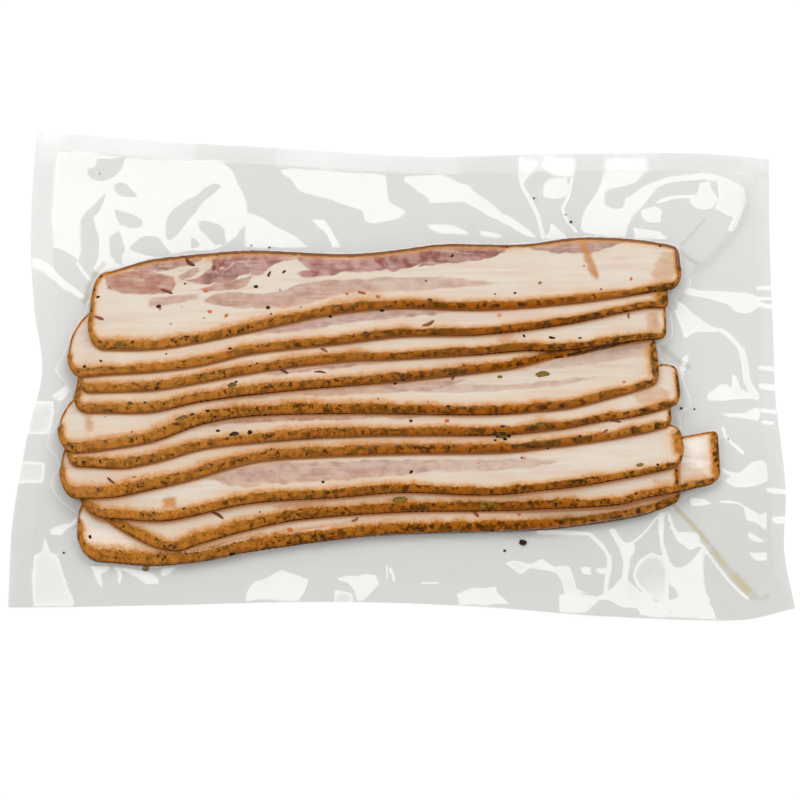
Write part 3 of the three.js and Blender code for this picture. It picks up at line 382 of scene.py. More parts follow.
        (-125.9, -91.8), (-123.7, -97.3), (-129.3, -98.1), (-139, -93.8), (-140.5, -87.8), (-141.5, -84.7),
        (-138.7, -80.7)]),
    (90, 0.2, [(-118.4, -82.7), (-115, -81.9), (-111.2, -82.3), (-113.7, -85.1), (-116.4, -84.3)]),
    (90, 0.2, [(-91.3, -83.1), (-87.2, -82.7), (-89.3, -86.3)]),
    (80, 0.16, [(-136, -13.7), (-133.5, -10.3), (-130.4, -8.2), (-131, -12.9), (-134, -14.5)]),
    (90, 0.13, [(-145.3, -15.4), (-137.9, -15.4), (-136.8, -20.8), (-137.9, -27.9), (-145.3, -27.9)]),
    (90, 0.13, [(-147.3, -40.7), (-139.5, -40.7), (-139.9, -47.7), (-148.4, -47.7)]),
    (95, 0.15, [(59.9, -93.4), (65.6, -92.6), (71.2, -93.4), (77.3, -93.4), (80, -91), (83.6, -86.7),
        (85.8, -87.5), (87.6, -91), (90.6, -92.6), (94.7, -94.9), (97.6, -97.7), (100.5, -100),
        (103.1, -101.2), (108.7, -101.2), (112.6, -100.4), (117.3, -95.7), (118.5, -103.1),
        (108.7, -103.1), (93.6, -102.4), (89.9, -101.6), (87.7, -98.1), (84.4, -95.7), (79.5, -94.9),
        (74.9, -95.7), (71.8, -98.1), (69.5, -100.8), (59.7, -100.4)]),
    (80, 0.15, [(101.4, -79.9), (103.2, -81.5), (106.6, -82.3), (109.7, -80.7), (112.6, -77.1),
        (115, -73.9), (115.3, -83.9), (115.3, -91.8), (117.4, -95.3), (114.8, -100.4), (108.7, -101.2),
        (103.5, -100.4), (100.6, -98.1), (99.1, -96.9), (102.5, -96.5), (104.1, -94.9), (108.4, -93.4),
        (110, -91), (105.5, -90.2), (102.1, -89.8), (100.7, -86.7)]),
    (85, 0.18, [(83, -71.1), (85.6, -72.3), (87.6, -72.3), (89.4, -73.9), (88.5, -77.1), (86.9, -79.9),
        (85.9, -85.9), (83.6, -86.7), (84.6, -80.7), (83.6, -75.9)]),
    (80, 0.18, [(101.3, -80.7), (103.9, -82.3), (108.9, -82.3), (112, -79.9), (113.4, -82.3),
        (112.8, -95.7), (109.7, -97.3), (106.7, -95.7), (103.8, -92.6), (101.8, -87.1)]),
    (90, 0.16, [(67.8, -82.3), (71.6, -82.3), (71.9, -85.5), (68.8, -84.7)]),
    (90, 0.16, [(73.8, -83.1), (78.1, -81.9), (78.3, -85.1), (75.3, -85.9)]),
    (90, 0.19, [(-110, -81.9), (-107.7, -82.3), (-106.5, -85.1), (-107.4, -89.4), (-110, -90.2)]),
    (80, 0.19, [(-108.1, -81.9), (-103.5, -82.3), (-95.8, -84.7), (-92.3, -86.7), (-92.6, -89.4),
        (-97.2, -89.4), (-102.2, -86.7)]),
    (90, 0.19, [(-91.7, -82.3), (-85.3, -82.3), (-89, -85.5), (-90.8, -87.1), (-92.4, -85.1)]),
    (90, 0.19, [(-118.8, -81.9), (-111.9, -81.9), (-114.5, -85.1), (-113.8, -90.2), (-116.3, -86.3)]),
    (80, 0.14, [(-148, 47.6), (-143, 44.9), (-139.6, 41.4), (-134.5, 36.5), (-129.1, 32.6), (-126.9, 29.6),
        (-130.2, 30.4), (-136, 34.4), (-140.2, 38.3), (-143.6, 41.4), (-148.5, 43.1)]),
]

# Soft-edged swells of the film, in the same way.
SWELLS = [
    (100, 0.26, [(-146.2, -14.5), (-137.9, -15.4), (-136.8, -20.8), (-137.9, -27.9), (-146.2, -27.1)]),
    (90, 0.28, [(-148.1, -40.3), (-139.2, -40.3), (-139.5, -48.1), (-148.7, -48.1)]),
    (85, 0.31, [(-140.3, -78.3), (-135.9, -75.1), (-131.1, -79.9), (-128.4, -87.8), (-124.8, -96.9),
        (-139.2, -97.7)]),
    (90, 0.3, [(90.7, -79.9), (95.4, -76.7), (99.9, -78.3), (101.1, -85.9), (100.7, -95.7), (93.9, -94.9),
        (89.6, -89.8), (88.2, -84.7)]),
    (90, 0.28, [(-25.4, -91.8), (-19, -92.6), (-18.9, -96.9), (-25.3, -96.9)]),
]

# Creases of the loose film: the way they fall, their slope, their width and their line.
CREASES = [
    (60, 0.22, 1.2, [(48.7, 90.8), (48.1, 82.6), (49.2, 77.1), (52.4, 71.2), (55.1, 64.5), (56.9, 55.5)]),
    (200, 0.22, 1.2, [(58.7, 81.7), (56.6, 78), (56.1, 72.6), (58.8, 66.7), (60.7, 62.7), (64.6, 58.2),
        (67.4, 55.5)]),
    (20, 0.22, 1, [(69.3, 81.7), (67.5, 73.5), (64.9, 68.1), (66.8, 62.7), (70.3, 57.8)]),
    (100, 0.15, 2.4, [(91.1, 65.8), (95.4, 71.2), (101, 78), (108.4, 81.2), (117.4, 82.1), (123.6, 83),
        (130.4, 81.2), (136, 78)]),
    (20, 0.2, 2, [(137.9, 77.1), (138, 71.2), (135.6, 64.9), (132.9, 59.1)]),
    (95, 0.15, 1.2, [(103.9, 71.2), (108.9, 73), (113, 73.5), (118.6, 73.5)]),
    (40, 0.2, 1.4, [(127, 15.7), (131.1, 11.8), (134.4, 6.7)]),
    (10, 0.22, 2.4, [(134.4, 6.7), (135.6, 0.3), (135.7, -6.1), (138.8, -12.9)]),
    (10, 0.22, 1.6, [(112.1, 3.7), (110.7, -1), (108.6, -5.3), (107.2, -8.6)]),
    (50, 0.2, 1.2, [(125.2, -26.2), (126.1, -30), (129.5, -33.3), (132.4, -36.2)]),
    (90, 0.2, 1.6, [(122.4, -42.8), (126.9, -44.8), (131.5, -46)]),
    (80, 0.2, 1, [(123.2, -56.2), (129.3, -56.6), (133, -59.1)]),
    (60, 0.22, 1.6, [(99.9, -60.7), (99.2, -67.9), (99.7, -73.9), (101.4, -79.9), (102.7, -84.7)]),
    (20, 0.22, 1.2, [(102.2, -60.7), (103.5, -65.9), (106.3, -71.9)]),
    (120, 0.2, 1.4, [(97.9, -62.7), (93.9, -67.9), (87.9, -73.1)]),
    (60, 0.22, 2.4, [(80.8, -68.3), (84.1, -73.9), (85.7, -79.9), (84.7, -87.1)]),
    (90, 0.2, 1.8, [(52.1, -68.7), (60.5, -69.1), (72, -69.5)]),
    (40, 0.22, 1.6, [(72, -69.5), (76.4, -73.9), (79, -77.9), (79.2, -82.3), (77.9, -87.8),
        (77.3, -91.8)]),
    (90, 0.2, 1.2, [(7.6, -88.6), (13.7, -88.6)]),
    (0, 0.22, 1.2, [(-5.7, -81.9), (-5.7, -86.7)]),
    (0, 0.22, 1.6, [(-4.2, -83.1), (-3, -87.5)]),
    (40, 0.22, 1, [(-117.5, -84.7), (-114.6, -90.6)]),
    (60, 0.2, 2, [(-108.1, -82.3), (-101.5, -85.5), (-95.7, -87.8), (-93, -88.6)]),
    (0, 0.2, 2, [(-109.5, -84.7), (-108.9, -89)]),
    (40, 0.22, 0.8, [(-132, -49.7), (-129.6, -51.8)]),
    (40, 0.22, 0.8, [(-129.3, -50.9), (-126.3, -55)]),
    (60, 0.18, 2, [(-143.3, 44), (-137.8, 38.3), (-132.7, 33.9), (-128.1, 30)]),
    (60, 0.18, 1.2, [(-130.5, 44.9), (-127.5, 40.5), (-124.9, 37)]),
    (80, 0.18, 1.2, [(-136.9, -12.4), (-133.5, -9.9), (-130.4, -8.2)]),
    (20, 0.2, 0.8, [(-129.1, -10.7), (-130.1, -14.5), (-132.6, -18.7)]),
    (90, 0.18, 1.6, [(142.7, 33.5), (147.1, 33.5)]),
    (90, 0.18, 1.2, [(142.9, 29.1), (146.8, 28.7)]),
    (90, 0.18, 1.6, [(141.5, 26.5), (147, 25.2)]),
    (90, 0.18, 1.6, [(141.1, -0.6), (146.2, -1.4)]),
    (90, 0.18, 2.4, [(141.4, -8.6), (146.5, -9.1)]),
    (90, 0.18, 1.6, [(141.2, -18.7), (145.9, -19.6)]),
    (90, 0.18, 1.6, [(141.3, -23.7), (144.4, -24.2)]),
    (90, 0.18, 2.4, [(141.6, -51.8), (147.3, -52.6)]),
    (90, 0.18, 3.2, [(143.5, -63.9), (147.3, -63.9)]),
    (70, 0.2, 1.2, [(114.7, -73.1), (117.1, -77.1), (119.6, -80.7), (122.4, -85.1), (125.3, -89),
        (128.5, -92.6), (131, -94.9)]),
]

# The fold of film that glints along the upper line of the lowest crusts.
GLINT = [(-82.8, -77.4), (-77.1, -76.7), (-71.4, -75.4), (-64.8, -73.1), (-58.1, -71.7), (-51.5, -70.7),
         (-44.8, -70.1), (-39.1, -68.7), (-27.6, -67.4)]

# Brine held in the loose film: strength, width and line.
BRINE = [
    (2, 1.9, [(104.6, -58.3), (108.3, -61.9), (111.2, -65.1), (114.1, -68.3), (117, -72.3),
        (119.1, -75.5)]),
    (1.9, 2.6, [(119.1, -75.5), (121.2, -78.7), (123.7, -82.3), (126.6, -85.9)]),
    (1.8, 4, [(126.6, -85.9), (129.4, -89.4), (131.9, -92.6), (133.3, -94.1)]),
    (1.4, 1.4, [(133.3, -94.5), (136.3, -95.3), (139, -93.8)]),
    (1.1, 1, [(112, 51.5), (117.1, 57.3), (122.2, 63.1)]),
    (0.5, 4.5, [(139.8, 74.4), (139, 66.3), (135.8, 60), (129.7, 52), (122.9, 44.9), (118.3, 41.4)]),
    (1.1, 2, [(111.9, 49.3), (115.7, 45.8), (118.8, 44)]),
    (1.5, 2.4, [(-126.4, 27.4), (-124.8, 34.8), (-122.7, 40.5), (-119.6, 44)]),
    (1.2, 3, [(103.6, 6.7), (108.1, 2.4), (112.7, -0.2)]),
]


# ---------------------------------------------------------------------------------------------
# Small helpers
# ---------------------------------------------------------------------------------------------

def mix(a, b, t):
    return a + (b - a) * t


def smooth(low, high, value):
    """A soft step from 0 at low to 1 at high."""
    t = np.clip((value - low) / (high - low), 0, 1)
    return t * t * (3 - 2 * t)


def curve(points, x):
    """A smooth curve through (x, y) points, as y over x."""
    px, py = np.array(points, float).T
    slope = np.empty(len(px))
    slope[1:-1] = (py[2:] - py[:-2]) / (px[2:] - px[:-2])
    slope[0] = (py[1] - py[0]) / (px[1] - px[0])
    slope[-1] = (py[-1] - py[-2]) / (px[-1] - px[-2])
    k = np.clip(np.searchsorted(px, x) - 1, 0, len(px) - 2)
    span = px[k + 1] - px[k]
    t = np.clip((x - px[k]) / span, 0, 1)
    bend = span * (slope[k] * t * (1 - t) ** 2 - slope[k + 1] * t * t * (1 - t))
    return mix(py[k], py[k + 1], t * t * (3 - 2 * t)) + bend


def corner_pull(corner, distance):
    """How far a rounded corner draws an edge in, at a distance from the slice's end."""
    along, across = corner
    inside = np.clip(1 - distance / along, 0, 1)
    return across * (1 - np.sqrt(1 - inside * inside))


def lattice_noise(x, y, seed):
    """Smooth noise from -1 to 1 with one bump per unit of x and y."""
    xi, yi = np.floor(x), np.floor(y)
    u, v = x - xi, y - yi
    u, v = u * u * (3 - 2 * u), v * v * (3 - 2 * v)

    def corner(i, j):
        h = np.sin(i * 127.1 + j * 311.7 + seed * 74.7) * 43758.5453
        return (h - np.floor(h)) * 2 - 1

    near = mix(corner(xi, yi), corner(xi + 1, yi), u)
    return mix(near, mix(corner(xi, yi + 1), corner(xi + 1, yi + 1), u), v)


def fractal(x, y, seed, octaves=3):
    """Layered noise from about -1 to 1."""
    total, size = 0, 1.0
    for k in range(octaves):
        total = total + size * lattice_noise(x * 2 ** k, y * 2 ** k, seed + 13 * k)
        size *= 0.5
    return total / 1.75


def blur(field, cells):
    """Gaussian blur of a 2-D field, with the radius in cells."""
    reach = max(int(cells * 3), 1)
    weights = np.exp(-0.5 * (np.arange(-reach, reach + 1) / cells) ** 2)
    weights /= weights.sum()
    for axis in (0, 1):
        pad = [(reach, reach) if a == axis else (0, 0) for a in (0, 1)]
        wide = np.pad(field, pad, mode="edge")
        size = field.shape[axis]
        parts = [w * np.take(wide, range(k, k + size), axis) for k, w in enumerate(weights)]
        field = sum(parts)
    return field


def cone_cover(field, fall):
    """The lowest surface over a field that falls away from it by no more than `fall` a cell."""
    cover = field.copy()
    for turned in (cover, cover.T):
        for k in range(1, len(turned)):
            np.maximum(turned[k], turned[k - 1] - fall, out=turned[k])
        for k in range(len(turned) - 2, -1, -1):
            np.maximum(turned[k], turned[k + 1] - fall, out=turned[k])
    return cover


def signed_inside(points, x, y):
    """Distance to a polygon's outline, positive inside it, for every x and y."""
    ring = np.array(points, float)
    inside = np.zeros(x.shape, bool)
    nearest = np.full(x.shape, 1e9)
    for (ax, ay), (bx, by) in zip(ring, np.roll(ring, -1, axis=0)):
        crosses = (ay > y) != (by > y)
        inside ^= crosses & (x < (bx - ax) * (y - ay) / (by - ay if by != ay else 1e-9) + ax)
        nearest = np.minimum(nearest, segment_distance((ax, ay), (bx, by), x, y))
    return np.where(inside, nearest, -nearest)


def segment_distance(a, b, x, y):
    dx, dy = b[0] - a[0], b[1] - a[1]
    t = np.clip(((x - a[0]) * dx + (y - a[1]) * dy) / max(dx * dx + dy * dy, 1e-9), 0, 1)
    return np.hypot(x - a[0] - t * dx, y - a[1] - t * dy)


def line_distance(line, x, y):
    """Distance of every x and y from a line through several points."""
    return np.min([segment_distance(a, b, x, y) for a, b in zip(line, line[1:])], axis=0)


def linear(rgb):
    """A colour typed as 0-255 screen values, as Blender's linear colour."""
    return tuple((c / 255 / 12.92) if c <= 10 else ((c / 255 + 0.055) / 1.055) ** 2.4 for c in rgb) + (1.0,)


def opaque(colour):
    return (*colour, 1.0)


def solid_tree(node):
    """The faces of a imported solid, ready to be hit by rays."""
    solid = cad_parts[node].data
    points = [v.co.copy() for v in solid.vertices]
    return BVHTree.FromPolygons(points, [tuple(p.vertices) for p in solid.polygons])


def underside_at(tree, x, y):
    """Height of a solid's underside over a point in millimetres, or nan beside the solid."""
    hit = tree.ray_cast((x * MM, y * MM, -1.0), (0, 0, 1))[0]
    return hit.z / MM if hit else np.nan


def mesh_object(name, vertices_mm, faces, fields=None):
    """A smooth-shaded mesh object from points in millimetres, with its fields as named attributes."""
    mesh = bpy.data.meshes.new(name)
    corners = faces.shape[1]
    mesh.vertices.add(len(vertices_mm))
    mesh.vertices.foreach_set("co", (np.asarray(vertices_mm, float) * MM).ravel())
    mesh.loops.add(faces.size)
    mesh.loops.foreach_set("vertex_index", faces.ravel())
    mesh.polygons.add(len(faces))
    mesh.polygons.foreach_set("loop_start", np.arange(0, faces.size, corners))
    mesh.polygons.foreach_set("loop_total", np.full(len(faces), corners))
    mesh.polygons.foreach_set("use_smooth", np.ones(len(faces), bool))
    for key, values in (fields or {}).items():
        layer = mesh.attributes.new(key, "FLOAT", "POINT")
        layer.data.foreach_set("value", np.asarray(values, float).ravel())
    mesh.update(calc_edges=True)
    mesh.validate()
    piece = bpy.data.objects.new(name, mesh)
    bpy.context.scene.collection.objects.link(piece)
    return piece


def grid_faces(rows, columns, first=0, flip=False):
    """Quads of a grid whose points are stored row after row."""
    a = (np.arange(rows - 1)[:, None] * columns + np.arange(columns - 1)[None, :]).ravel() + first
    quads = np.stack([a, a + columns, a + columns + 1, a + 1], axis=1)
    return quads[:, ::-1] if flip else quads


# ---------------------------------------------------------------------------------------------
# Slices
# ---------------------------------------------------------------------------------------------

# Width of the browned rim at a slice's left end, right end and back edge, and of its crust over the usual
# one.
RIMS = {
    "slice_01": (1.8, 1.9, 1.4, 1.0), "slice_02": (0.9, 4.4, 0.8, 0.9), "slice_03": (2.4, 0.9, 0.8, 0.95),
    "slice_04": (2.6, 0.9, 0.8, 1.0), "slice_05": (0.9, 3.0, 0.8, 1.15), "slice_06": (1.6, 1.5, 0.8, 1.0),
    "slice_07": (1.3, 1.2, 0.8, 1.15), "slice_08": (1.4, 3.4, 0.8, 0.9), "slice_09": (1.4, 1.4, 0.8, 1.0),
    "slice_10": (1.5, 1.2, 0.8, 1.2), "slice_11": (1.0, 2.6, 0.9, 0.9),
}


class SliceShape:
    """Outline of a slice and the height of its underside, which is taken from its solid."""

    SAMPLE_ROWS = 9

    def __init__(self, name):
        spec = SLICES[name]
        self.name = name
        self.number = int(name[-2:])
        self.spec = spec
        self.left, self.right = spec["crust"][0][0], spec["crust"][-1][0]
        self.sample_x = np.linspace(self.left + 0.6, self.right - 0.6, 110)
        self.sample_f = np.linspace(0.06, 0.97, self.SAMPLE_ROWS)
        self.under = self._underside()

    def front(self, x):
        a, _, c, _ = self.spec["corners"]
        return curve(self.spec["crust"], x) + corner_pull(a, x - self.left) + corner_pull(c, self.right - x)

    def back(self, x):
        _, b, _, d = self.spec["corners"]
        if "back" in self.spec:
            line = curve(self.spec["back"], x)
        else:
            share = (x - self.left) / (self.right - self.left)
            line = curve(self.spec["crust"], x) + mix(*self.spec["ends"], share)
        return line - corner_pull(b, x - self.left) - corner_pull(d, self.right - x)

    def crust_width(self, x):
        """Width of the crust's band, which wanders, thins towards the right and runs out at both ends."""
        usual = np.interp(x, [-130, -90, -20, 60, 100], [3.6, 3.6, 3.3, 2.7, 2.2])
        slow = lattice_noise(x / 9, x * 0, self.number)
        quick = lattice_noise(x / 3.5, x * 0, self.number + 20)
        ends = mix(0.5, 1, smooth(0, 7, x - self.left)) * mix(0.6, 1, smooth(0, 6, self.right - x))
        return (usual * RIMS[self.name][3] + (0.35 * slow + 0.2 * quick)) * ends

    def _underside(self):
        tree = solid_tree(self.name)
        heights = np.full((len(self.sample_x), self.SAMPLE_ROWS), np.nan)
        for i, x in enumerate(self.sample_x):
            near, far = float(self.front(x)), float(self.back(x))
            for j, f in enumerate(self.sample_f):
                heights[i, j] = underside_at(tree, x, mix(near, far, f))
        known = ~np.isnan(heights)
        for j in range(self.SAMPLE_ROWS):
            column = known[:, j]
            heights[:, j] = np.interp(self.sample_x, self.sample_x[column], heights[column, j])
        return blur(heights, 1.2)

    def underside(self, x, f):
        """Height of the underside at x, and at the share f of the way from the crust to the back."""
        i = np.clip(np.interp(x, self.sample_x, np.arange(len(self.sample_x))), 0, len(self.sample_x) - 1.001)
        j = np.clip(np.interp(f, self.sample_f, np.arange(self.SAMPLE_ROWS)), 0, self.SAMPLE_ROWS - 1.001)
        a, b = i.astype(int), j.astype(int)
        u, v = i - a, j - b
        h = self.under
        return mix(mix(h[a, b], h[a + 1, b], u), mix(h[a, b + 1], h[a + 1, b + 1], u), v)

    def share(self, x, y):
        """How far across the slice a point lies: 0 at the crust, 1 at the back."""
        front, back = self.front(x), self.back(x)
        return (y - front) / np.maximum(back - front, 0.5)

    def surface(self, x, y):
        """Height of the face over any points."""
        return self.underside(x, np.clip(self.share(x, y), 0, 1)) + SLICE_THICK


SHAPES = {name: SliceShape(name) for name in SLICES}

# Mesh lines close to a slice's rim, by their distance from it: rows by the crust and by the back edge, for
# the face and for the underside, and columns by the two ends.
FACE_ROWS = np.array([0, 0.1, 0.3, 0.6, 1.0, 1.5, 2.1, 2.8, 3.5, 4.3])
FACE_BACK = np.array([1.6, 0.9, 0.45, 0.2, 0.05, 0])
UNDER_ROWS = np.array([0, 0.3, 1.0, 2.2, 4.3])
UNDER_BACK = np.array([1.6, 0.6, 0.1, 0])
UNDER_PITCH = 4.0
END_COLUMNS = np.array([0, 0.08, 0.25, 0.5, 0.85, 1.3, 1.9, 2.6, 3.4, 4.3])
ROUND_OFF = 0.9             # radius of the rounded rim
CRUST_RISE = 0.3            # height of the crust over the face
FAR = 20.0                  # stands for no crust nearby


def rounded(rim):
    """Share of its full height that a slice has at a distance from its rim."""
    return np.sqrt(1 - (1 - np.clip(rim / ROUND_OFF, 0, 1)) ** 2)


def slice_grid(shape, pitch, rows, back_rows, row_pitch):
    """Columns along the slice and rows across it, closer together at its rim. Returns x, y and share f."""
    inner = int((shape.right - shape.left - 2 * END_COLUMNS[-1]) / pitch)
    x = np.concatenate([shape.left + END_COLUMNS[:-1],
                        np.linspace(shape.left + END_COLUMNS[-1], shape.right - END_COLUMNS[-1], inner),
                        shape.right - END_COLUMNS[:-1][::-1]])
    front, back = shape.front(x), shape.back(x)
    span = np.maximum(back - front, 0.8)
    squeeze = np.minimum(span / 9, 1)[:, None]
    near = rows[None, :] * squeeze
    far = span[:, None] - back_rows[None, :] * squeeze
    share = np.linspace(0, 1, int((span.max() - 6) / row_pitch) + 2)[1:-1][None, :]
    d = np.concatenate([near, mix(near[:, -1:], far[:, :1], share), far], axis=1)
    return np.broadcast_to(x[:, None], d.shape).copy(), front[:, None] + d, d / span[:, None]


def rim_fields(shape, x, y):
    """Distance to the outline in millimetres, and the same as a share of the browned rim's width there."""
    left_rim, right_rim, back_rim, _ = RIMS[shape.name]
    step = np.arange(shape.left, shape.right, 0.6)
    ends = np.concatenate([shape.left + np.geomspace(0.01, 4, 14), shape.right - np.geomspace(0.01, 4, 14)])
    px = np.sort(np.concatenate([step, ends]))
    sides = [(px, shape.front(px), shape.crust_width(px)), (px, shape.back(px), np.full(len(px), back_rim))]
    for edge, rim in ((shape.left, left_rim), (shape.right, right_rim)):
        low, high = float(shape.front(edge)), float(shape.back(edge))
        py = np.linspace(low, high, max(int((high - low) / 0.5), 2))
        sides.append((np.full(len(py), edge), py, np.full(len(py), rim)))
    nearest, share = np.full(x.shape, 1e9), np.full(x.shape, 1e9)
    for px, py, width in sides:
        for k in range(0, len(px), 48):
            part = slice(k, k + 48)
            gap = np.hypot(x[..., None] - px[part], y[..., None] - py[part])
            nearest = np.minimum(nearest, gap.min(-1))
            share = np.minimum(share, (gap / width[part]).min(-1))
    return nearest, share


def patch_fields(number, x, y):
    """Strength of each kind of patch at the points of a slice's face."""
    fields = {kind: np.zeros(x.shape) for kind in PATCH_KINDS}
    wx = x + 1.2 * fractal(x / 4, y / 2.2, number + 3)
    wy = y + 0.8 * fractal(x / 3, y / 2.2, number + 5)
    for owner, kind, strength, outline in PATCHES:
        if owner == number:
            soft = 1.1 if kind == "stain" else 0.3
            value = strength * smooth(-soft, soft * 0.7, signed_inside(outline, wx, wy))
            fields[kind] = np.maximum(fields[kind], value)
    return fields


def under_neighbours(shape, x, y):
    """Distance from the crust of the nearest slice above, or 0 where one covers the point."""
    near = np.full(x.shape, FAR)
    for other in SHAPES.values():
        above = other.number < shape.number and other.left < shape.right
        if above:
            beside = np.clip(x, other.left, other.right)
            span = (x > other.left) & (x < other.right) & (y < other.back(beside))
            gap = np.maximum(other.front(beside) - y, 0)
            near = np.where(span, np.minimum(near, gap), near)
    return near


def build_slice(shape, pitch):
    """A slice: a fine face with its raised crust and crumbs, and a plainer underside."""
    number = shape.number
    x, y, f = slice_grid(shape, pitch, FACE_ROWS, FACE_BACK, pitch)
    rim, share = rim_fields(shape, x, y)
    body = rounded(rim)
    crumb = fractal(x / 1.5, y / 1.3, number) * 0.2 + fractal(x / 0.7, y / 0.7, number + 40, 2) * 0.1
    on_crust = 1 - smooth(0.75, 1.2, share)
    relief = on_crust * (CRUST_RISE + crumb) * body + (1 - on_crust) * 0.1 * fractal(x / 9, y / 3, number + 7)
    half = SLICE_THICK / 2
    top = shape.underside(x, f) + half + half * body + relief
    shift = (1 - smooth(0, 0.8, rim)) * on_crust * 0.3 * fractal(x / 1.6, y / 1.6, number + 90)
    upper = np.stack([x, y + shift, top], -1).reshape(-1, 3)
    ux, uy, uf = slice_grid(shape, pitch, UNDER_ROWS, UNDER_BACK, UNDER_PITCH)
    under_rim, under_share = rim_fields(shape, ux, uy)
    bottom = shape.underside(ux, uf) + half - half * rounded(under_rim)
    lower = np.stack([ux, uy, bottom], -1).reshape(-1, 3)
    faces = np.concatenate([grid_faces(*x.shape), grid_faces(*ux.shape, first=x.size, flip=True)])
    near = under_neighbours(shape, x, y)
    fields = {"rim_share": np.concatenate([share.ravel(), under_share.ravel()]),
              "rim_mm": np.concatenate([rim.ravel(), under_rim.ravel()]),
              "near_mm": np.concatenate([near.ravel(), np.full(ux.size, FAR)])}
    for kind, values in patch_fields(number, x, y).items():
        fields[kind] = np.concatenate([values.ravel(), np.zeros(ux.size)])
    return mesh_object(shape.name + "_meat", np.concatenate([upper, lower]), faces, fields)


# ---------------------------------------------------------------------------------------------
# Spices
# ---------------------------------------------------------------------------------------------

# Kinds of spice: height over width, roughness of the outline, and the two colours that each is mixed from.
KINDS = {
    "pepper": (0.4, 0.35, ((34, 24, 20), (66, 44, 28))),
    "chilli": (0.18, 0.4, ((222, 146, 92), (196, 104, 56))),
    "needle": (0.5, 0.15, ((156, 92, 64), (104, 62, 46))),
    "herb": (0.1, 0.25, ((134, 106, 44), (96, 76, 22))),
    "crumb": (0.45, 0.4, ((60, 38, 18), (128, 84, 34))),
}


def highest(x, y):
    """The slice whose face is uppermost at a point, or None."""
    found = None
    for shape in SHAPES.values():
        if shape.left < x < shape.right and 0 < float(shape.share(np.array(x), np.array(y))) < 1:
            if found is None or shape.number < found.number:
                found = shape
    return found


def blob():
    """A small round mesh: its points on the unit sphere and its triangles."""
    made = bmesh.new()
    bmesh.ops.create_icosphere(made, subdivisions=2, radius=1.0)
    made.verts.ensure_lookup_table()
    points = np.array([v.co[:] for v in made.verts])
    faces = np.array([[v.index for v in face.verts] for face in made.faces])
    made.free()
    return points, faces


FLAKE_STANDS = 0.28         # how far a flake's top stands over the face that it is pressed into
THICKEST_FLAKE = 0.9
NEEDLE_STRETCH = (1.2, 1.5)
NEEDLE_BEND = 0.12


def build_flakes(kind, places, random, floor):
    """One mesh of all the flakes of a kind, pressed into the slices or lying loose on the film."""
    height, rough, _ = KINDS[kind]
    unit, triangles = blob()
    points, faces, shades = [], [], []
    for x, y, length, width, turn in places:
        owner = highest(x, y)
        base = float(owner.surface(np.array(x), np.array(y))) if owner else floor(x, y)
        form = unit * (1 + rough * random.uniform(-0.6, 0.6, (len(unit), 1)))
        thick = min(width * height, THICKEST_FLAKE)
        form = form * (length / 2, width / 2, thick / 2)
        if kind == "needle":
            form[:, :2] *= NEEDLE_STRETCH
            arch = (form[:, 0] * 2 / length) ** 2 - 0.4
            form[:, 1] += NEEDLE_BEND * length * arch * random.uniform(-1, 1)
        c, s = math.cos(math.radians(turn)), math.sin(math.radians(turn))
        lift = base + FLAKE_STANDS - thick / 2 if owner else base + thick / 2
        placed = np.stack([x + form[:, 0] * c - form[:, 1] * s, y + form[:, 0] * s + form[:, 1] * c,
                           lift + form[:, 2]], -1)
        faces.append(triangles + len(points) * len(unit))
        points.append(placed)
        shades.append(np.full(len(unit), random.uniform()))
    return mesh_object("spice_" + kind, np.concatenate(points), np.concatenate(faces),
                       {"shade": np.concatenate(shades)})


def crust_crumbs(random, count):
    """Places of small crumbs of spice, scattered over the crusts that show."""
    places = []
    while len(places) < count:
        shape = SHAPES["slice_%02d" % random.integers(1, 12)]
        x = random.uniform(shape.left + 2, shape.right - 2)
        y = float(shape.front(x)) + random.uniform(0.3, 1.0) * float(shape.crust_width(x))
        if highest(x, y) is shape:
            size = random.uniform(0.45, 1.3) * random.uniform(0.7, 1.0)
            places.append((x, y, size, size * random.uniform(0.6, 1), random.uniform(0, 180)))
    return places


# ---------------------------------------------------------------------------------------------
# Materials
# ---------------------------------------------------------------------------------------------

# Colours that are the same on every slice, as a screen shows them: the fat of the lowest slices, painted
# paler to offset the shade on them; the juice beside the crusts, with the juice below the crust above painted
# lighter to offset the step's shade and a painted brown shadow at the foot of the crust above; and the parts
# of a crust, whose lower speck is painted lighter to offset the shade at the crust's lower edge.
TONES = {
    "fat lifted from shade": (236, 228, 218), "stain": (190, 130, 78), "peach": (216, 172, 126),
    "own juice": (200, 134, 62), "other juice lightened in shade": (224, 178, 134), "foot": (206, 132, 70),
    "left crust": (208, 146, 66), "right crust": (222, 154, 64), "upper speck": (132, 78, 14),
    "lower speck": (122, 64, 4), "rust": (186, 92, 26), "black": (40, 22, 8), "olive": (84, 56, 16),
    "outer rim": (196, 108, 36), "back rim": (122, 82, 58),
}

# Kinds of lean, each mottled from two colours.
LEANS = {
    "lean": ((184, 138, 120), (158, 106, 92)),
    "mauve": ((182, 138, 134), (150, 96, 94)),
    "dark": ((160, 96, 90), (118, 54, 50)),
}

# Painted light: the fat of the lowest slices is painted paler, to offset the shade that falls on them.
FIRST_SHADE_LIFTED = 10             # from this slice on the fat is paler

# What the film's tint becomes in the brine field: a grey that is partly brine and partly painted shade beside
# the slices, and where the brine is deep.
GREY_BRINE_AND_SHADE_TINT, DEEP_BRINE_TINT = (231, 231, 228), (234, 218, 182)
WET_LOSS = 0.93             # share of the film's reflection that is lost where it lies on wet meat
MOST_GLOSS = 0.4            # the film never mirrors more than this, however flat it is seen


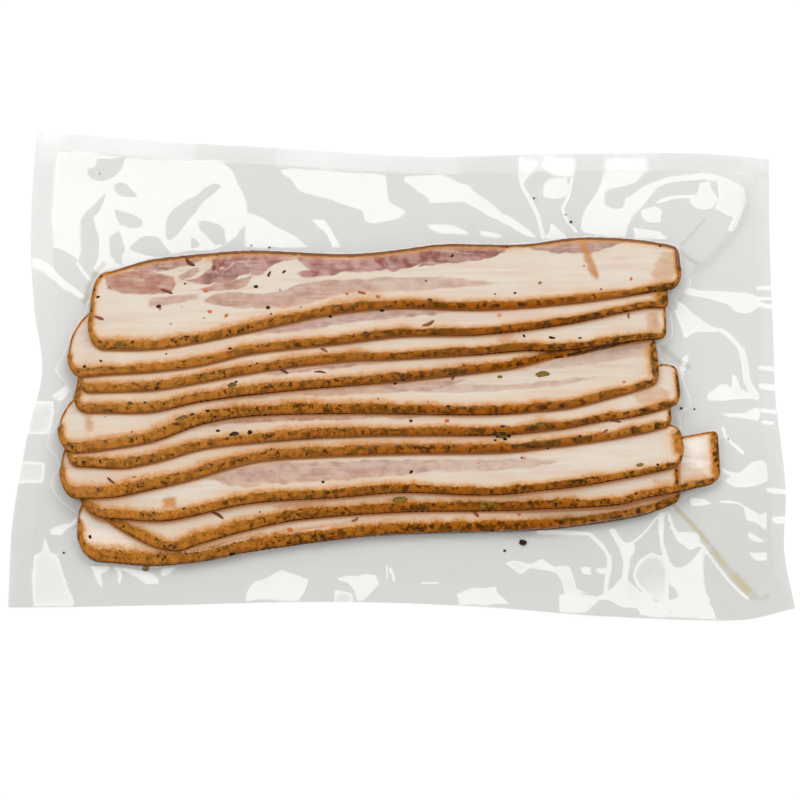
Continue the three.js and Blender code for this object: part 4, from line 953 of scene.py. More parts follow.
class Nodes:
    """Short calls for a material's nodes."""

    def __init__(self, name):
        self.material = bpy.data.materials.new(name)
        self.material.use_nodes = True
        self.tree = self.material.node_tree
        self.tree.nodes.clear()

    def add(self, kind, inputs=None, **settings):
        node = self.tree.nodes.new(kind)
        for key, value in settings.items():
            setattr(node, key, value)
        for key, value in (inputs or {}).items():
            self.put(node.inputs[key], value)
        return node

    def put(self, socket, value):
        if isinstance(value, bpy.types.NodeSocket):
            self.tree.links.new(value, socket)
        else:
            socket.default_value = value

    def field(self, name):
        return self.add("ShaderNodeAttribute", attribute_name=name).outputs["Fac"]

    def vector(self, operation, a, b):
        return self.add("ShaderNodeVectorMath", {0: a, 1: b}, operation=operation).outputs[0]

    def math(self, operation, *values):
        node = self.add("ShaderNodeMath", operation=operation)
        for socket, value in zip(node.inputs, values):
            self.put(socket, value)
        return node.outputs[0]

    def noise(self, vector, scale, detail=3.0, roughness=0.55):
        return self.add("ShaderNodeTexNoise", {"Vector": vector, "Scale": scale, "Detail": detail,
                                               "Roughness": roughness}).outputs["Fac"]

    def grains(self, vector, scale):
        """A random value for each grain of a Voronoi pattern."""
        cell = self.add("ShaderNodeTexVoronoi", {"Vector": vector, "Scale": scale}).outputs["Color"]
        return self.add("ShaderNodeSeparateColor", {"Color": cell}).outputs[0]

    def step(self, value, low, high):
        return self.add("ShaderNodeMapRange", {"Value": value, "From Min": low, "From Max": high},
                        interpolation_type="SMOOTHSTEP").outputs["Result"]

    def blend(self, share, a, b):
        node = self.add("ShaderNodeMix", data_type="RGBA")
        for socket, value in ((node.inputs[0], share), (node.inputs[6], a), (node.inputs[7], b)):
            self.put(socket, value)
        return node.outputs[2]

    def lay(self, below, colour, share, strength):
        """A colour, or one of the tones by its name, laid over what is below."""
        colour = linear(TONES[colour]) if isinstance(colour, str) else colour
        return self.blend(self.math("MULTIPLY", share, strength), below, colour)

    def output(self, shader):
        out = self.add("ShaderNodeOutputMaterial")
        self.tree.links.new(shader, out.inputs["Surface"])
        return self.material

    def matt(self, colour, roughness, **inputs):
        """The finished material, with no shine of its own."""
        inputs.update({"Base Color": colour, "Roughness": roughness, "Specular IOR Level": 0.0})
        return self.output(self.add("ShaderNodeBsdfPrincipled", inputs).outputs[0])


class MeatNodes(Nodes):
    """Nodes of one slice, with the patterns that its face and its crust share, in millimetres."""

    def __init__(self, number, meat):
        super().__init__("cured_belly_%02d" % number)
        self.number, self.meat = number, meat
        spot = self.add("ShaderNodeTexCoord").outputs["Object"]
        spot = self.vector("MULTIPLY", spot, (1000, 1000, 1000))
        self.place = self.vector("ADD", spot, (0, 0, number * 9.0))
        self.fibres = self.vector("MULTIPLY", self.place, (0.1, 1, 1))
        self.grain = self.noise(self.place, 0.9, 4.0, 0.62)
        self.lumps = self.noise(self.place, 0.32, 2.0)
        self.speck = self.noise(self.place, 1.7, 4.0, 0.8)
        rough = self.math("MULTIPLY_ADD", self.lumps, 0.7, self.math("MULTIPLY", self.speck, 0.7))
        self.ragged = self.math("SUBTRACT", self.math("MULTIPLY_ADD", self.grain, 0.7, rough), 1.05)
        self.rim = self.field("rim_share")
        self.wander = self.math("ADD", self.ragged, self.rim)

    def face(self):
        """Cream fat with peach clouds and faint pink layers along the slice, and the lean over it."""
        cloud = self.step(self.noise(self.place, 0.07, 4.0), 0.35, 0.7)
        layer = self.step(self.noise(self.fibres, 0.4, 4.0), 0.42, 0.7)
        face = self.blend(cloud, opaque(self.meat.fat), opaque(self.meat.fat_warm))
        # Painted light: the lowest slices' fat is mixed toward a paler tone to offset the shade on them.
        if self.number >= FIRST_SHADE_LIFTED:
            face = self.blend(0.85, face, linear(TONES["fat lifted from shade"]))
        face = self.lay(face, opaque(self.meat.fat_pink), layer, 0.55)
        # Lean layers, with fine fibres and soft blotches.
        fibre = self.step(self.noise(self.fibres, 1.1, 5.0, 0.6), 0.34, 0.7)
        blotch = self.step(self.noise(self.place, 0.2, 5.0, 0.6), 0.38, 0.66)
        mottle = self.math("MULTIPLY_ADD", fibre, 0.5, self.math("MULTIPLY", blotch, 0.6))
        threads = self.math("MULTIPLY", self.step(self.noise(self.fibres, 0.8, 3.0, 0.6), 0.56, 0.66), 0.4)
        for kind, (light, deep) in LEANS.items():
            strength = self.math("MULTIPLY", self.field(kind), self.math("MULTIPLY_ADD", blotch, 0.35, 0.95))
            strength = self.math("SUBTRACT", strength, self.math("MULTIPLY", strength, threads))
            lean = self.blend(mottle, linear(light), linear(deep))
            face = self.blend(self.math("MINIMUM", strength, 1.0), face, lean)
        stain = self.math("MULTIPLY", self.field("stain"), self.math("MULTIPLY_ADD", blotch, 0.4, 0.75))
        return self.lay(face, "stain", stain, 1.3)

    def juicy(self, face):
        """The face with juice drawn out beside its own crust. Below the crust above, juice painted lighter to
        offset the shade of the step, and a painted brown shadow at its foot.
        """
        near = self.field("near_mm")
        face = self.lay(face, "peach", self.step(self.wander, 3.2, 1.2), 0.4)
        face = self.lay(face, "own juice", self.step(self.wander, 1.85, 0.95), 0.95)
        # Painted light: juice below the crust above, painted lighter to offset the shade that the step casts
        # on it.
        other = self.step(self.math("MULTIPLY_ADD", self.grain, 2.0, near), 3.4, 0.9)
        face = self.lay(face, "other juice lightened in shade", other, 0.75)
        # Painted shadow, brown like the juice, at the foot of the crust above.
        return self.lay(face, "foot", self.step(near, 1.0, 0.2), 0.75)

    def crust(self):
        """Amber above and browner below, the lower colours painted lighter than their own to offset the shade
        at the crust's lower edge, with the rub's specks, clouds, mottles and grains over it.
        """
        place, speck = self.place, self.speck
        across = self.add("ShaderNodeSeparateXYZ", {0: place}).outputs
        # Painted light: the lower colours, of the crust and of its specks, are lighter than the crust's own,
        # to offset the shade towards its lower edge.
        depth = self.step(self.math("MULTIPLY_ADD", self.ragged, 0.8, self.rim), 1.05, 0.3)
        crust = self.blend(depth, opaque(self.meat.crust_light), opaque(self.meat.crust))
        left = self.step(across[0], 40.0, -110.0)
        crust = self.lay(crust, "left crust", left, 0.55)
        crust = self.lay(crust, "right crust", self.step(across[0], 50.0, 110.0), 0.55)
        specks = self.blend(depth, linear(TONES["upper speck"]), linear(TONES["lower speck"]))
        crust = self.lay(crust, specks, self.step(speck, 0.54, 0.44), 0.6)
        crust = self.lay(crust, "rust", self.step(self.noise(place, 0.75, 2.0), 0.56, 0.66), 0.55)
        herb = self.step(self.noise(self.fibres, 0.6, 4.0, 0.6), 0.54, 0.66)
        crust = self.lay(crust, opaque(self.meat.herb), herb, 0.45)
        # Dark mottles, thinner towards the left, as the olive clouds are.
        thin = self.math("MULTIPLY_ADD", left, -0.5, 1.0)
        cloud = self.step(self.noise(place, 0.17, 4.0, 0.6), 0.44, 0.62)
        mottle = self.step(self.math("MULTIPLY_ADD", speck, 0.5, self.lumps), 0.75, 0.84)
        mottle = self.math("MULTIPLY", mottle, self.math("MULTIPLY_ADD", cloud, 0.3, 0.7))
        crust = self.lay(crust, opaque(self.meat.crust_dark), mottle, thin)
        # Black grains with bent outlines.
        bend = self.add("ShaderNodeTexNoise", {"Vector": place, "Scale": 0.9, "Detail": 2.0}).outputs["Color"]
        bent = self.vector("ADD", self.vector("MULTIPLY", bend, (1.6, 1.6, 1.6)), place)
        black = self.step(self.grains(bent, 0.62), 0.78, 0.86)
        crust = self.lay(crust, "black", self.math("MULTIPLY", black, self.step(self.grain, 0.4, 0.54)), 0.85)
        cluster = self.step(self.noise(place, 0.15, 3.0, 0.55), 0.53, 0.62)
        cluster = self.math("MAXIMUM", self.field("olive"), cluster)
        fine = self.math("MULTIPLY_ADD", self.step(speck, 0.56, 0.42), 0.4, 0.3)
        olive = self.math("MULTIPLY", cluster, fine)
        crust = self.lay(crust, "olive", olive, thin)
        crust = self.lay(crust, "outer rim", self.step(self.field("rim_mm"), 0.35, 0.05), 0.75)
        if self.number == 1:
            crust = self.lay(crust, "back rim", self.step(across[1], 38.0, 44.0), 0.85)
        return crust


def meat_material(number, meat):
    """The material of one slice: its face, and its crust inside the browned rim."""
    n = MeatNodes(number, meat)
    band = n.step(n.wander, 1.14, 0.9)
    colour = n.blend(band, n.juicy(n.face()), n.crust())
    fine = n.math("MULTIPLY", n.noise(n.fibres, 1.3), 0.2)
    height = n.math("MULTIPLY_ADD", band, n.noise(n.place, 1.6, 4.0), fine)
    bump = n.add("ShaderNodeBump", {"Height": height, "Strength": 0.3, "Distance": 0.0004}).outputs[0]
    return n.matt(colour, 0.7, Normal=bump)


def spice_material(kind):
    """The material of one kind of spice, mixed from its two colours."""
    n = Nodes("spice_" + kind)
    light, deep = KINDS[kind][2]
    spot = n.add("ShaderNodeTexCoord").outputs["Object"]
    mottle = n.math("MULTIPLY_ADD", n.noise(spot, 1400.0), 0.8, n.field("shade"))
    return n.matt(n.blend(n.step(mottle, 0.4, 1.3), linear(light), linear(deep)), 0.8)


def film_material(name, film):
    """Clear film: a tint and a reflection, milky where it is welded, and open to the light on its way in."""
    n = Nodes(name)
    facing = n.add("ShaderNodeFresnel", {"IOR": film.index}).outputs[0]
    gloss = n.math("MULTIPLY_ADD", n.field("wet"), -WET_LOSS * film.gloss, film.gloss)
    share = n.math("MINIMUM", n.math("MULTIPLY", facing, gloss), MOST_GLOSS)
    # The brine field carries painted shade too: its grey tint darkens the film beside the slices as well as
    # where brine lies.
    brine = n.field("brine")
    tint = n.blend(brine, opaque(film.tint), linear(GREY_BRINE_AND_SHADE_TINT))
    tint = n.blend(n.math("SUBTRACT", brine, 1.0), tint, linear(DEEP_BRINE_TINT))
    clear = n.add("ShaderNodeBsdfTransparent", {"Color": tint}).outputs[0]
    shine = n.add("ShaderNodeBsdfGlossy", {"Color": (1, 1, 1, 1), "Roughness": film.roughness}).outputs[0]
    weld = n.add("ShaderNodeBsdfDiffuse", {"Color": opaque(film.weld)}).outputs[0]
    skin = n.add("ShaderNodeMixShader", {0: share, 1: clear, 2: shine}).outputs[0]
    haze = n.math("MULTIPLY", n.field("weld"), film.haze)
    seen = n.add("ShaderNodeMixShader", {0: haze, 1: skin, 2: weld}).outputs[0]
    open_way = n.add("ShaderNodeBsdfTransparent").outputs[0]
    lit = n.add("ShaderNodeLightPath").outputs["Is Shadow Ray"]
    return n.output(n.add("ShaderNodeMixShader", {0: lit, 1: seen, 2: open_way}).outputs[0])


# ---------------------------------------------------------------------------------------------
# Film
# ---------------------------------------------------------------------------------------------

BESIDE = -99.0              # stands for no slice under a cell

# Heights of the films in millimetres: of the loose film at rest over the slices and over the back film, its
# least height over the back film, and the cover's height over the slices before and after it is smoothed.
REST_OVER_MEAT, REST_OVER_BACK, LEAST_GAP, COVER_DRAWN, COVER_LEAST = 0.2, 0.5, 0.12, 0.3, 0.45

# How far the film's slopes reach before it comes back to its rest height: over most of the pouch, over its
# upper part and in the weld. Over the slices in the upper part it is held outright.
REACH, UPPER_REACH, WELD_REACH = 9.0, 60.0, 3.0
UPPER_HOLD = 4.0
SETTLING = 300              # rounds in which the loose film settles

REAL_SHARE = 0.6            # how much the film on the slices shows of its real slopes
GLINT_SLOPE = -0.26
SWELL_SOFT = 1.6            # softness of a swell's edge
LEAST_SHADED = 0.09         # facets with less slope than this are flat ones, and stay as they are

# Shares along and across the pouch between which the cover lies. The flange is all round it.
COVER_LEFT, COVER_RIGHT, COVER_FRONT, COVER_BACK = 0.06, 0.92, 0.10, 0.79


class Raster:
    """Heights over a flat grid that covers the pouch, in millimetres."""

    def __init__(self, cell, half_x=153.0, half_y=107.0):
        self.cell = cell
        self.x = np.arange(-half_x, half_x + cell / 2, cell)
        self.y = np.arange(-half_y, half_y + cell / 2, cell)
        self.gx, self.gy = np.meshgrid(self.x, self.y, indexing="ij")

    def sample(self, field, x, y):
        """The field's values at any points."""
        i = np.clip((x - self.x[0]) / self.cell, 0, len(self.x) - 1.001)
        j = np.clip((y - self.y[0]) / self.cell, 0, len(self.y) - 1.001)
        a, b = i.astype(int), j.astype(int)
        u, v = i - a, j - b
        return mix(mix(field[a, b], field[a + 1, b], u), mix(field[a, b + 1], field[a + 1, b + 1], u), v)

    def window(self, points, margin):
        """The part of the grid around some points."""
        px, py = np.array(points, float).T
        i = np.clip(np.searchsorted(self.x, [px.min() - margin, px.max() + margin]), 0, len(self.x))
        j = np.clip(np.searchsorted(self.y, [py.min() - margin, py.max() + margin]), 0, len(self.y))
        return slice(i[0], i[1]), slice(j[0], j[1])


def pouch_base(raster, step=8):
    """The underside of the pouch's solid, smoothed."""
    tree = solid_tree("pouch")
    xs, ys = raster.x[::step], raster.y[::step]
    coarse = np.array([[underside_at(tree, x, y) for y in ys] for x in xs])
    for _ in range(6):
        gaps = np.isnan(coarse)
        wide = np.pad(coarse, 1, constant_values=np.nan)
        around = np.stack([wide[2:, 1:-1], wide[:-2, 1:-1], wide[1:-1, 2:], wide[1:-1, :-2]])
        known = ~np.isnan(around)
        mean = np.where(known, around, 0).sum(0) / np.maximum(known.sum(0), 1)
        coarse = np.where(gaps & known.any(0), mean, coarse)
    coarse = np.nan_to_num(coarse, nan=3.0)
    fine_x = np.stack([np.interp(raster.x, xs, coarse[:, j]) for j in range(len(ys))], axis=1)
    fine = np.stack([np.interp(raster.y, ys, fine_x[i]) for i in range(len(raster.x))], axis=0)
    return blur(fine, 3.0 / raster.cell)


def stack_height(raster):
    """The highest top of the slices over each cell, or BESIDE next to them."""
    stack = np.full(raster.gx.shape, BESIDE)
    for shape in SHAPES.values():
        inside = (raster.x > shape.left) & (raster.x < shape.right)
        x, y = raster.gx[inside], raster.gy[inside]
        front, back = shape.front(raster.x[inside])[:, None], shape.back(raster.x[inside])[:, None]
        f = (y - front) / np.maximum(back - front, 0.5)
        over = (f > 0) & (f < 1)
        side = np.minimum(np.minimum(y - front, back - y), np.minimum(x - shape.left, shape.right - x))
        body = rounded(side)
        rise = CRUST_RISE * (1 - smooth(0.7, 1.3, (y - front) / shape.crust_width(raster.x[inside])[:, None]))
        top = shape.underside(x, np.clip(f, 0, 1)) + SLICE_THICK * (0.5 + 0.5 * body) + rise * body
        stack[inside] = np.where(over, np.maximum(stack[inside], top), stack[inside])
    return stack


def edge_inset(raster):
    """Distance of each cell from the pouch's four edges, in from them."""
    x, y = raster.gx, raster.gy
    top, bottom = curve(EDGES["top"], raster.x)[:, None], curve(EDGES["bottom"], raster.x)[:, None]
    left = curve([(b, a) for a, b in EDGES["left"]], raster.y)[None, :]
    right = curve([(b, a) for a, b in EDGES["right"]], raster.y)[None, :]
    return top - y, y - bottom, x - left, right - x


WELD = (8.3, 9.5, 9.0, 5.5)     # width of the weld at the top, bottom, left and right edge


def weld_field(raster):
    """1 in the welded band, 0 inside it."""
    wobble = 0.35 * lattice_noise(raster.gx / 25, raster.gy / 25, 61)
    sides = zip(WELD, edge_inset(raster))
    return np.max([1 - smooth(width - 0.5, width + 0.1, inset + wobble) for width, inset in sides], axis=0)


# Milkiness of the weld along the top edge, as (x, share).
CLOUDS = [(-148.4, 1.25), (-111.5, 1.35), (-86.9, 1.3), (-82, 0.55), (-54.9, 0.55), (-48.4, 1.2),
          (-32.8, 1.3), (-0.8, 0.9), (21.7, 0.9), (26.2, 0.3), (46.3, 0.3), (49.2, 1), (69.7, 1),
          (73, 0.3), (82.4, 0.4), (86.1, 1), (99.6, 1), (107.4, 0.3), (139.4, 0.35), (144.3, 0.9),
          (147.6, 0.9), (150.9, 0.3)]


def milkiness(raster):
    """How milky the weld is: most at the top, where it is cloudy, and least at the bottom."""
    side = np.argmin(np.array([inset - width for width, inset in zip(WELD, edge_inset(raster))]), axis=0)
    left = mix(0.15, 0.75, smooth(20, 60, raster.gy))
    shares = (np.interp(raster.gx, *zip(*CLOUDS)), 0.08, left, 0.2)
    return blur(np.select([side == k for k in range(4)], shares), 1.5 / raster.cell)


def painted_slopes(raster):
    """The slopes the loose film should have: soft crumples, then the facets and creases on top."""

    def crumples(seed, fine_seed):
        wide = 0.03 * fractal(raster.gx / 16, raster.gy / 16, seed)
        return wide + 0.01 * fractal(raster.gx / 4, raster.gy / 4, fine_seed)

    soft_x, soft_y = crumples(31, 37), crumples(41, 47)
    gx, gy = soft_x.copy(), soft_y.copy()
    least = 0.14 - 0.055 * raster.gy / 90
    ripple = 1 + 0.9 * np.clip(fractal(raster.gx / 11, raster.gy / 11, 53), 0, 1)
    blunt = 0.5 + 1.9 * np.clip(fractal(raster.gx / 14, raster.gy / 14, 59), 0, 1)
    wander = 0.7 * fractal(raster.gx / 3.5, raster.gy / 3.5, 61)
    rows = [(row, blunt) for row in FACETS] + [(row, np.full_like(blunt, SWELL_SOFT)) for row in SWELLS]
    for (falls, slope, outline), softness in rows:
        part = raster.window(outline, 3.0)
        soft = softness[part]
        inside = smooth(-soft, soft, signed_inside(outline, raster.gx[part], raster.gy[part]) + wander[part])
        way = math.radians(falls)
        fall = np.maximum(slope, least[part]) * ripple[part] if slope > LEAST_SHADED else slope
        gx[part] = mix(gx[part], soft_x[part] - fall * math.cos(way), inside)
        gy[part] = mix(gy[part], soft_y[part] - fall * math.sin(way), inside)
    for falls, slope, width, line in CREASES:
        part = raster.window(line, width)
        gap = line_distance(line, raster.gx[part], raster.gy[part])
        inside = 1 - smooth(width / 2 - 0.25, width / 2 + 0.25, gap)
        way = math.radians(falls)
        fall = np.maximum(slope, least[part])
        gx[part] = mix(gx[part], -fall * math.cos(way), inside)
        gy[part] = mix(gy[part], -fall * math.sin(way), inside)
    return gx, gy


def glint_field(raster):
    """How much of the film at each point is the glinting fold."""
    field = np.zeros(raster.gx.shape)
    part = raster.window(GLINT, 1.5)
    field[part] = 1 - smooth(0.2, 0.6, line_distance(GLINT, raster.gx[part], raster.gy[part]))
    return field * np.clip(0.5 + 1.6 * fractal(raster.gx / 9, raster.gy / 9, 67), 0, 1)


def settled(gx, gy, rest, hold, cell, rounds):
    """The surface whose slopes come closest to the wanted ones while it is held near its rest height."""

    def pull(h):
        out = hold * h
        dx, dy = np.diff(h, axis=0) / cell ** 2, np.diff(h, axis=1) / cell ** 2
        out[1:] += dx
        out[:-1] -= dx
        out[:, 1:] += dy
        out[:, :-1] -= dy
        return out

    want = hold * rest
    ex, ey = (gx[1:] + gx[:-1]) / 2 / cell, (gy[:, 1:] + gy[:, :-1]) / 2 / cell
    want[1:] += ex
    want[:-1] -= ex
    want[:, 1:] += ey
    want[:, :-1] -= ey
    h = rest.copy()
    left = want - pull(h)
    way = left.copy()
    size = (left * left).sum()
    for _ in range(rounds):
        pulled = pull(way)
        length = size / (way * pulled).sum()
        h += length * way
        left -= length * pulled
        grown = (left * left).sum()
        way = left + way * (grown / size)
        size = grown
    return h


def film_surface(raster):
    """Heights of the back and front film, the front film's slopes, and where it is welded and wet."""
    base = pouch_base(raster)
    stack = stack_height(raster)
    weld = weld_field(raster)
    over = stack > BESIDE
    rest = np.where(over, stack + REST_OVER_MEAT, blur(base, 4.0 / raster.cell) + REST_OVER_BACK)
    painted = painted_slopes(raster)
    gx, gy = (np.where(over, 0, slope) for slope in painted)
    upper = smooth(40, 52, raster.gy) * smooth(-150, -120, raster.gx)
    hold = mix(mix(1 / REACH ** 2, 1 / UPPER_REACH ** 2, upper), 1 / WELD_REACH ** 2, weld)
    hold[over] = mix(1 / REACH ** 2, UPPER_HOLD, upper)[over]
    loose = settled(gx, gy, rest, hold, raster.cell, SETTLING)
    loose = np.maximum(loose, base + LEAST_GAP)
    cover = cone_cover(np.maximum(stack + COVER_DRAWN, base), 1.2 * raster.cell)
    cover = np.maximum(blur(cover, 0.5 / raster.cell), stack + COVER_LEAST)
    front = np.maximum(loose, cover)
    wet = smooth(1.2, 0.5, front - stack) * over
    drawn = ((front > loose + 0.05) & (raster.gy < 38)) | over
    drawn = smooth(0.2, 0.7, blur(drawn.astype(float), 0.6 / raster.cell))
    wet = np.maximum(wet, drawn)
    steep = np.gradient(front, raster.cell)
    slopes = [mix(flat, REAL_SHARE * real, drawn) for flat, real in zip(painted, steep)]
    glint = glint_field(raster)
    wet = wet * (1 - glint)
    slopes = [mix(slopes[0], 0, glint), mix(slopes[1], GLINT_SLOPE, glint)]
    return base, front, slopes, weld, wet


def brine_and_shade_field(raster):
    """How much the film is tinted: all round the slices, most at their lower edges, partly brine and partly
    painted shade where the slices shade the film; brine in veins; and thinly below, a grey wash that darkens
    the film towards the bottom.
    """
    over = (stack_height(raster) > BESIDE).astype(float)
    low = smooth(45, -40, raster.gy)
    # Partly brine, partly painted shade: a grey ring round the slices, strongest at their lower edges.
    near = blur(over, 2.0 / raster.cell) * mix(0.25, 1.0, low)
    # A thin grey wash that darkens the film towards the bottom.
    field = mix(near + 0.4 * smooth(-20, -75, raster.gy), 0, over)
    for strength, width, line in BRINE:
        part = raster.window(line, width)
        gap = line_distance(line, raster.gx[part], raster.gy[part])
        drop = 1 - smooth(width * 0.25, width * 0.6, gap)
        field[part] = np.maximum(np.minimum(field[part], 1), strength * drop)
    return field


def outline_grid(u, v):
    """Points inside the pouch's outline at the shares u along it and v across it, from its four edges."""
    u, v = np.meshgrid(u, v, indexing="ij")

    def long_edge(points, t):
        x = mix(points[0][0], points[-1][0], t)
        return np.stack([x, curve(points, x)], -1)

    def short_edge(points, t):
        y = mix(points[0][1], points[-1][1], t)
        return np.stack([curve([(b, a) for a, b in points], y), y], -1)

    top, bottom = long_edge(EDGES["top"], u), long_edge(EDGES["bottom"], u)
    left, right = short_edge(EDGES["left"], v), short_edge(EDGES["right"], v)
    corners = [np.array(EDGES[edge][end], float) for edge in ("bottom", "top") for end in (0, -1)]
    u, v = u[..., None], v[..., None]
    flat = mix(mix(corners[0], corners[1], u), mix(corners[2], corners[3], u), v)
    place = mix(bottom, top, v) + mix(left, right, u) - flat
    return place[..., 0], place[..., 1]


def film_piece(name, raster, height, slopes, fields, blocks, flip=False):
    """One piece of film from blocks of (u0, u1, columns, v0, v1, rows), shaded by its slopes."""
    points, faces, normals, values = [], [], [], {key: [] for key in fields}
    first = 0
    for u0, u1, columns, v0, v1, rows in blocks:
        x, y = outline_grid(np.linspace(u0, u1, columns), np.linspace(v0, v1, rows))
        points.append(np.stack([x, y, raster.sample(height, x, y)], -1).reshape(-1, 3))
        leans = [-raster.sample(slope, x, y) for slope in slopes]
        normals.append(np.stack([*leans, np.ones(x.shape)], -1).reshape(-1, 3) * (-1 if flip else 1))
        faces.append(grid_faces(columns, rows, first, flip))
        for key, field in fields.items():
            values[key].append(raster.sample(field, x, y).ravel())
        first += x.size
    piece = mesh_object(name, np.concatenate(points), np.concatenate(faces),
                        {key: np.concatenate(parts) for key, parts in values.items()})
    normals = np.concatenate(normals)
    normals /= np.linalg.norm(normals, axis=1, keepdims=True)
    piece.data.normals_split_custom_set_from_vertices(normals.tolist())
    return piece


# ---------------------------------------------------------------------------------------------
# Settings
# ---------------------------------------------------------------------------------------------

def tone(name, description, screen):
    """A setting for a colour, given as a screen shows it."""
    return FloatVectorProperty(name=name, description=description, subtype="COLOR", size=3, min=0.0, max=1.0,
                               default=linear(screen)[:3])


class PackMeatSettings(bpy.types.PropertyGroup):
    pitch: FloatProperty(name="Mesh pitch", description="Spacing of the slices' mesh, in millimetres",
                         default=0.8, min=0.4, max=4.0)
    fat: tone("Fat", "Cream fat", (215, 204, 191))
    fat_warm: tone("Warm fat", "Fat tinged with peach", (214, 200, 183))
    fat_pink: tone("Pink fat", "Faint layers in the fat", (206, 178, 166))
    # Painted light: the crust's lower colour is set lighter than its own, to offset the shade towards its
    # lower edge.
    crust_light: tone("Crust above", "Crust along its upper line", (170, 106, 34))
    crust: tone("Crust", "Crust along its lower line", (160, 88, 12))
    crust_dark: tone("Crust grains", "Dark grains of the rub", (66, 40, 6))
    herb: tone("Herb", "Green clouds in the rub", (120, 92, 22))
    crumbs: IntProperty(name="Crumbs", description="Crumbs of spice scattered over the crusts",
                        default=420, min=0)


class PackFilmSettings(bpy.types.PropertyGroup):
    index: FloatProperty(name="IOR", description="Refractive index of the film",
                         default=1.5, min=1.0, max=2.0)
    gloss: FloatProperty(name="Gloss", description="Reflection of the film's two faces over one face",
                         default=1.8, min=0.5, max=4.0)
    roughness: FloatProperty(name="Roughness", description="Blur of the film's reflection", default=0.14,
                             min=0.0, max=1.0)
    tint: tone("Tint", "Colour of light that has passed one film", (247, 247, 246))
    weld: tone("Weld", "Milky colour of the welded edge", (240, 240, 240))
    haze: FloatProperty(name="Weld haze", description="Milkiness of the welded edge",
                        default=0.3, min=0.0, max=1.0)


class PackStageSettings(bpy.types.PropertyGroup):
    camera_distance: FloatProperty(name="Camera distance", description="From the lens to the pack",
                                   default=0.9, unit="LENGTH")
    camera_tilt: FloatProperty(name="Camera tilt", description="Camera's lean off straight down",
                               default=math.radians(22), subtype="ANGLE")
    ring: FloatProperty(name="Ring", description="Brightness of the ring of light overhead",
                        default=3.28, min=0.0)
    room: FloatProperty(name="Room", description="Brightness of the room around the ring",
                        default=0.6, min=0.0)
    flag_tilt: FloatProperty(name="Flag tilt", description="Lean of the dark flag inside the ring",
                             default=math.radians(14), subtype="ANGLE")


# ---------------------------------------------------------------------------------------------
# Operators
# ---------------------------------------------------------------------------------------------

class PACK_OT_slices(bpy.types.Operator):
    """Dress each slice: a fine mesh with its crust, fat and lean"""
    bl_idname = "bacon_pack.slices"
    bl_label = "Slices"

    def execute(self, context):
        meat = context.scene.pack_meat
        for shape in SHAPES.values():
            pitch = meat.pitch * (0.75 if shape.number == 1 else 1.0)
            piece = build_slice(shape, pitch)
            piece.data.materials.append(meat_material(shape.number, meat))
            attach(piece, BODY)
            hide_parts(shape.name)
        return {"FINISHED"}


class PACK_OT_spices(bpy.types.Operator):
    """Lay the pepper, chilli, herbs and crumbs of the rub on the slices"""
    bl_idname = "bacon_pack.spices"
    bl_label = "Spices"

    def execute(self, context):
        random = np.random.default_rng(7)
        raster = Raster(4.0)
        base = pouch_base(raster, 1)
        places = dict(FLAKES, crumb=crust_crumbs(random, context.scene.pack_meat.crumbs))
        for kind, spots in places.items():
            piece = build_flakes(kind, spots, random, lambda x, y: float(raster.sample(base, x, y)) + 0.1)
            piece.data.materials.append(spice_material(kind))
            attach(piece, BODY)
        return {"FINISHED"}


class PACK_OT_film(bpy.types.Operator):
    """Wrap the slices in the two films, with the welded edge and the folds of the loose film"""
    bl_idname = "bacon_pack.film"
    bl_label = "Film"

    def execute(self, context):
        film = context.scene.pack_film
        raster = Raster(0.5)
        base, front, slopes, weld, wet = film_surface(raster)
        # Brine, and painted shade beside the slices, as a tint of the film.
        brine = brine_and_shade_field(raster)
        fields = {"weld": weld * milkiness(raster), "wet": wet, "brine": brine}
        u1, u2, v1, v2 = COVER_LEFT, COVER_RIGHT, COVER_FRONT, COVER_BACK
        flange = [(0, 1, 420, 0, v1, 30), (0, 1, 420, v2, 1, 62),
                  (0, u1, 26, v1, v2, 200), (u2, 1, 36, v1, v2, 200)]
        pieces = [film_piece("film_flange", raster, front, slopes, fields, flange),
                  film_piece("film_cover", raster, front, slopes, fields, [(u1, u2, 220, v1, v2, 330)])]
        back_fields = {"weld": weld * 0, "wet": weld * 0, "brine": weld * 0}
        pieces.append(film_piece("film_back", raster, base + 0.03, (weld * 0, weld * 0), back_fields,
                                 [(0, 1, 150, 0, 1, 100)], flip=True))
        clear = film_material("clear_film", film)
        for piece in pieces:
            piece.data.materials.append(clear)
            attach(piece, BODY)
            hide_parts("pouch")
        return {"FINISHED"}


# Angles from the middle of the dark flag, in degrees, between which the flag ends and the ring ends.
FLAG_ENDS, RING_ENDS = (20.5, 16.5), (50, 22)

# The camera: its width in pixels and on the sensor, and its focal length and shift in pixels.
PIXELS, SENSOR, FOCAL, SHIFT = 800, 36.0, 2277, (-2, -32)
FLOOR_HALF, FLOOR_HEIGHT = 3000, -0.1


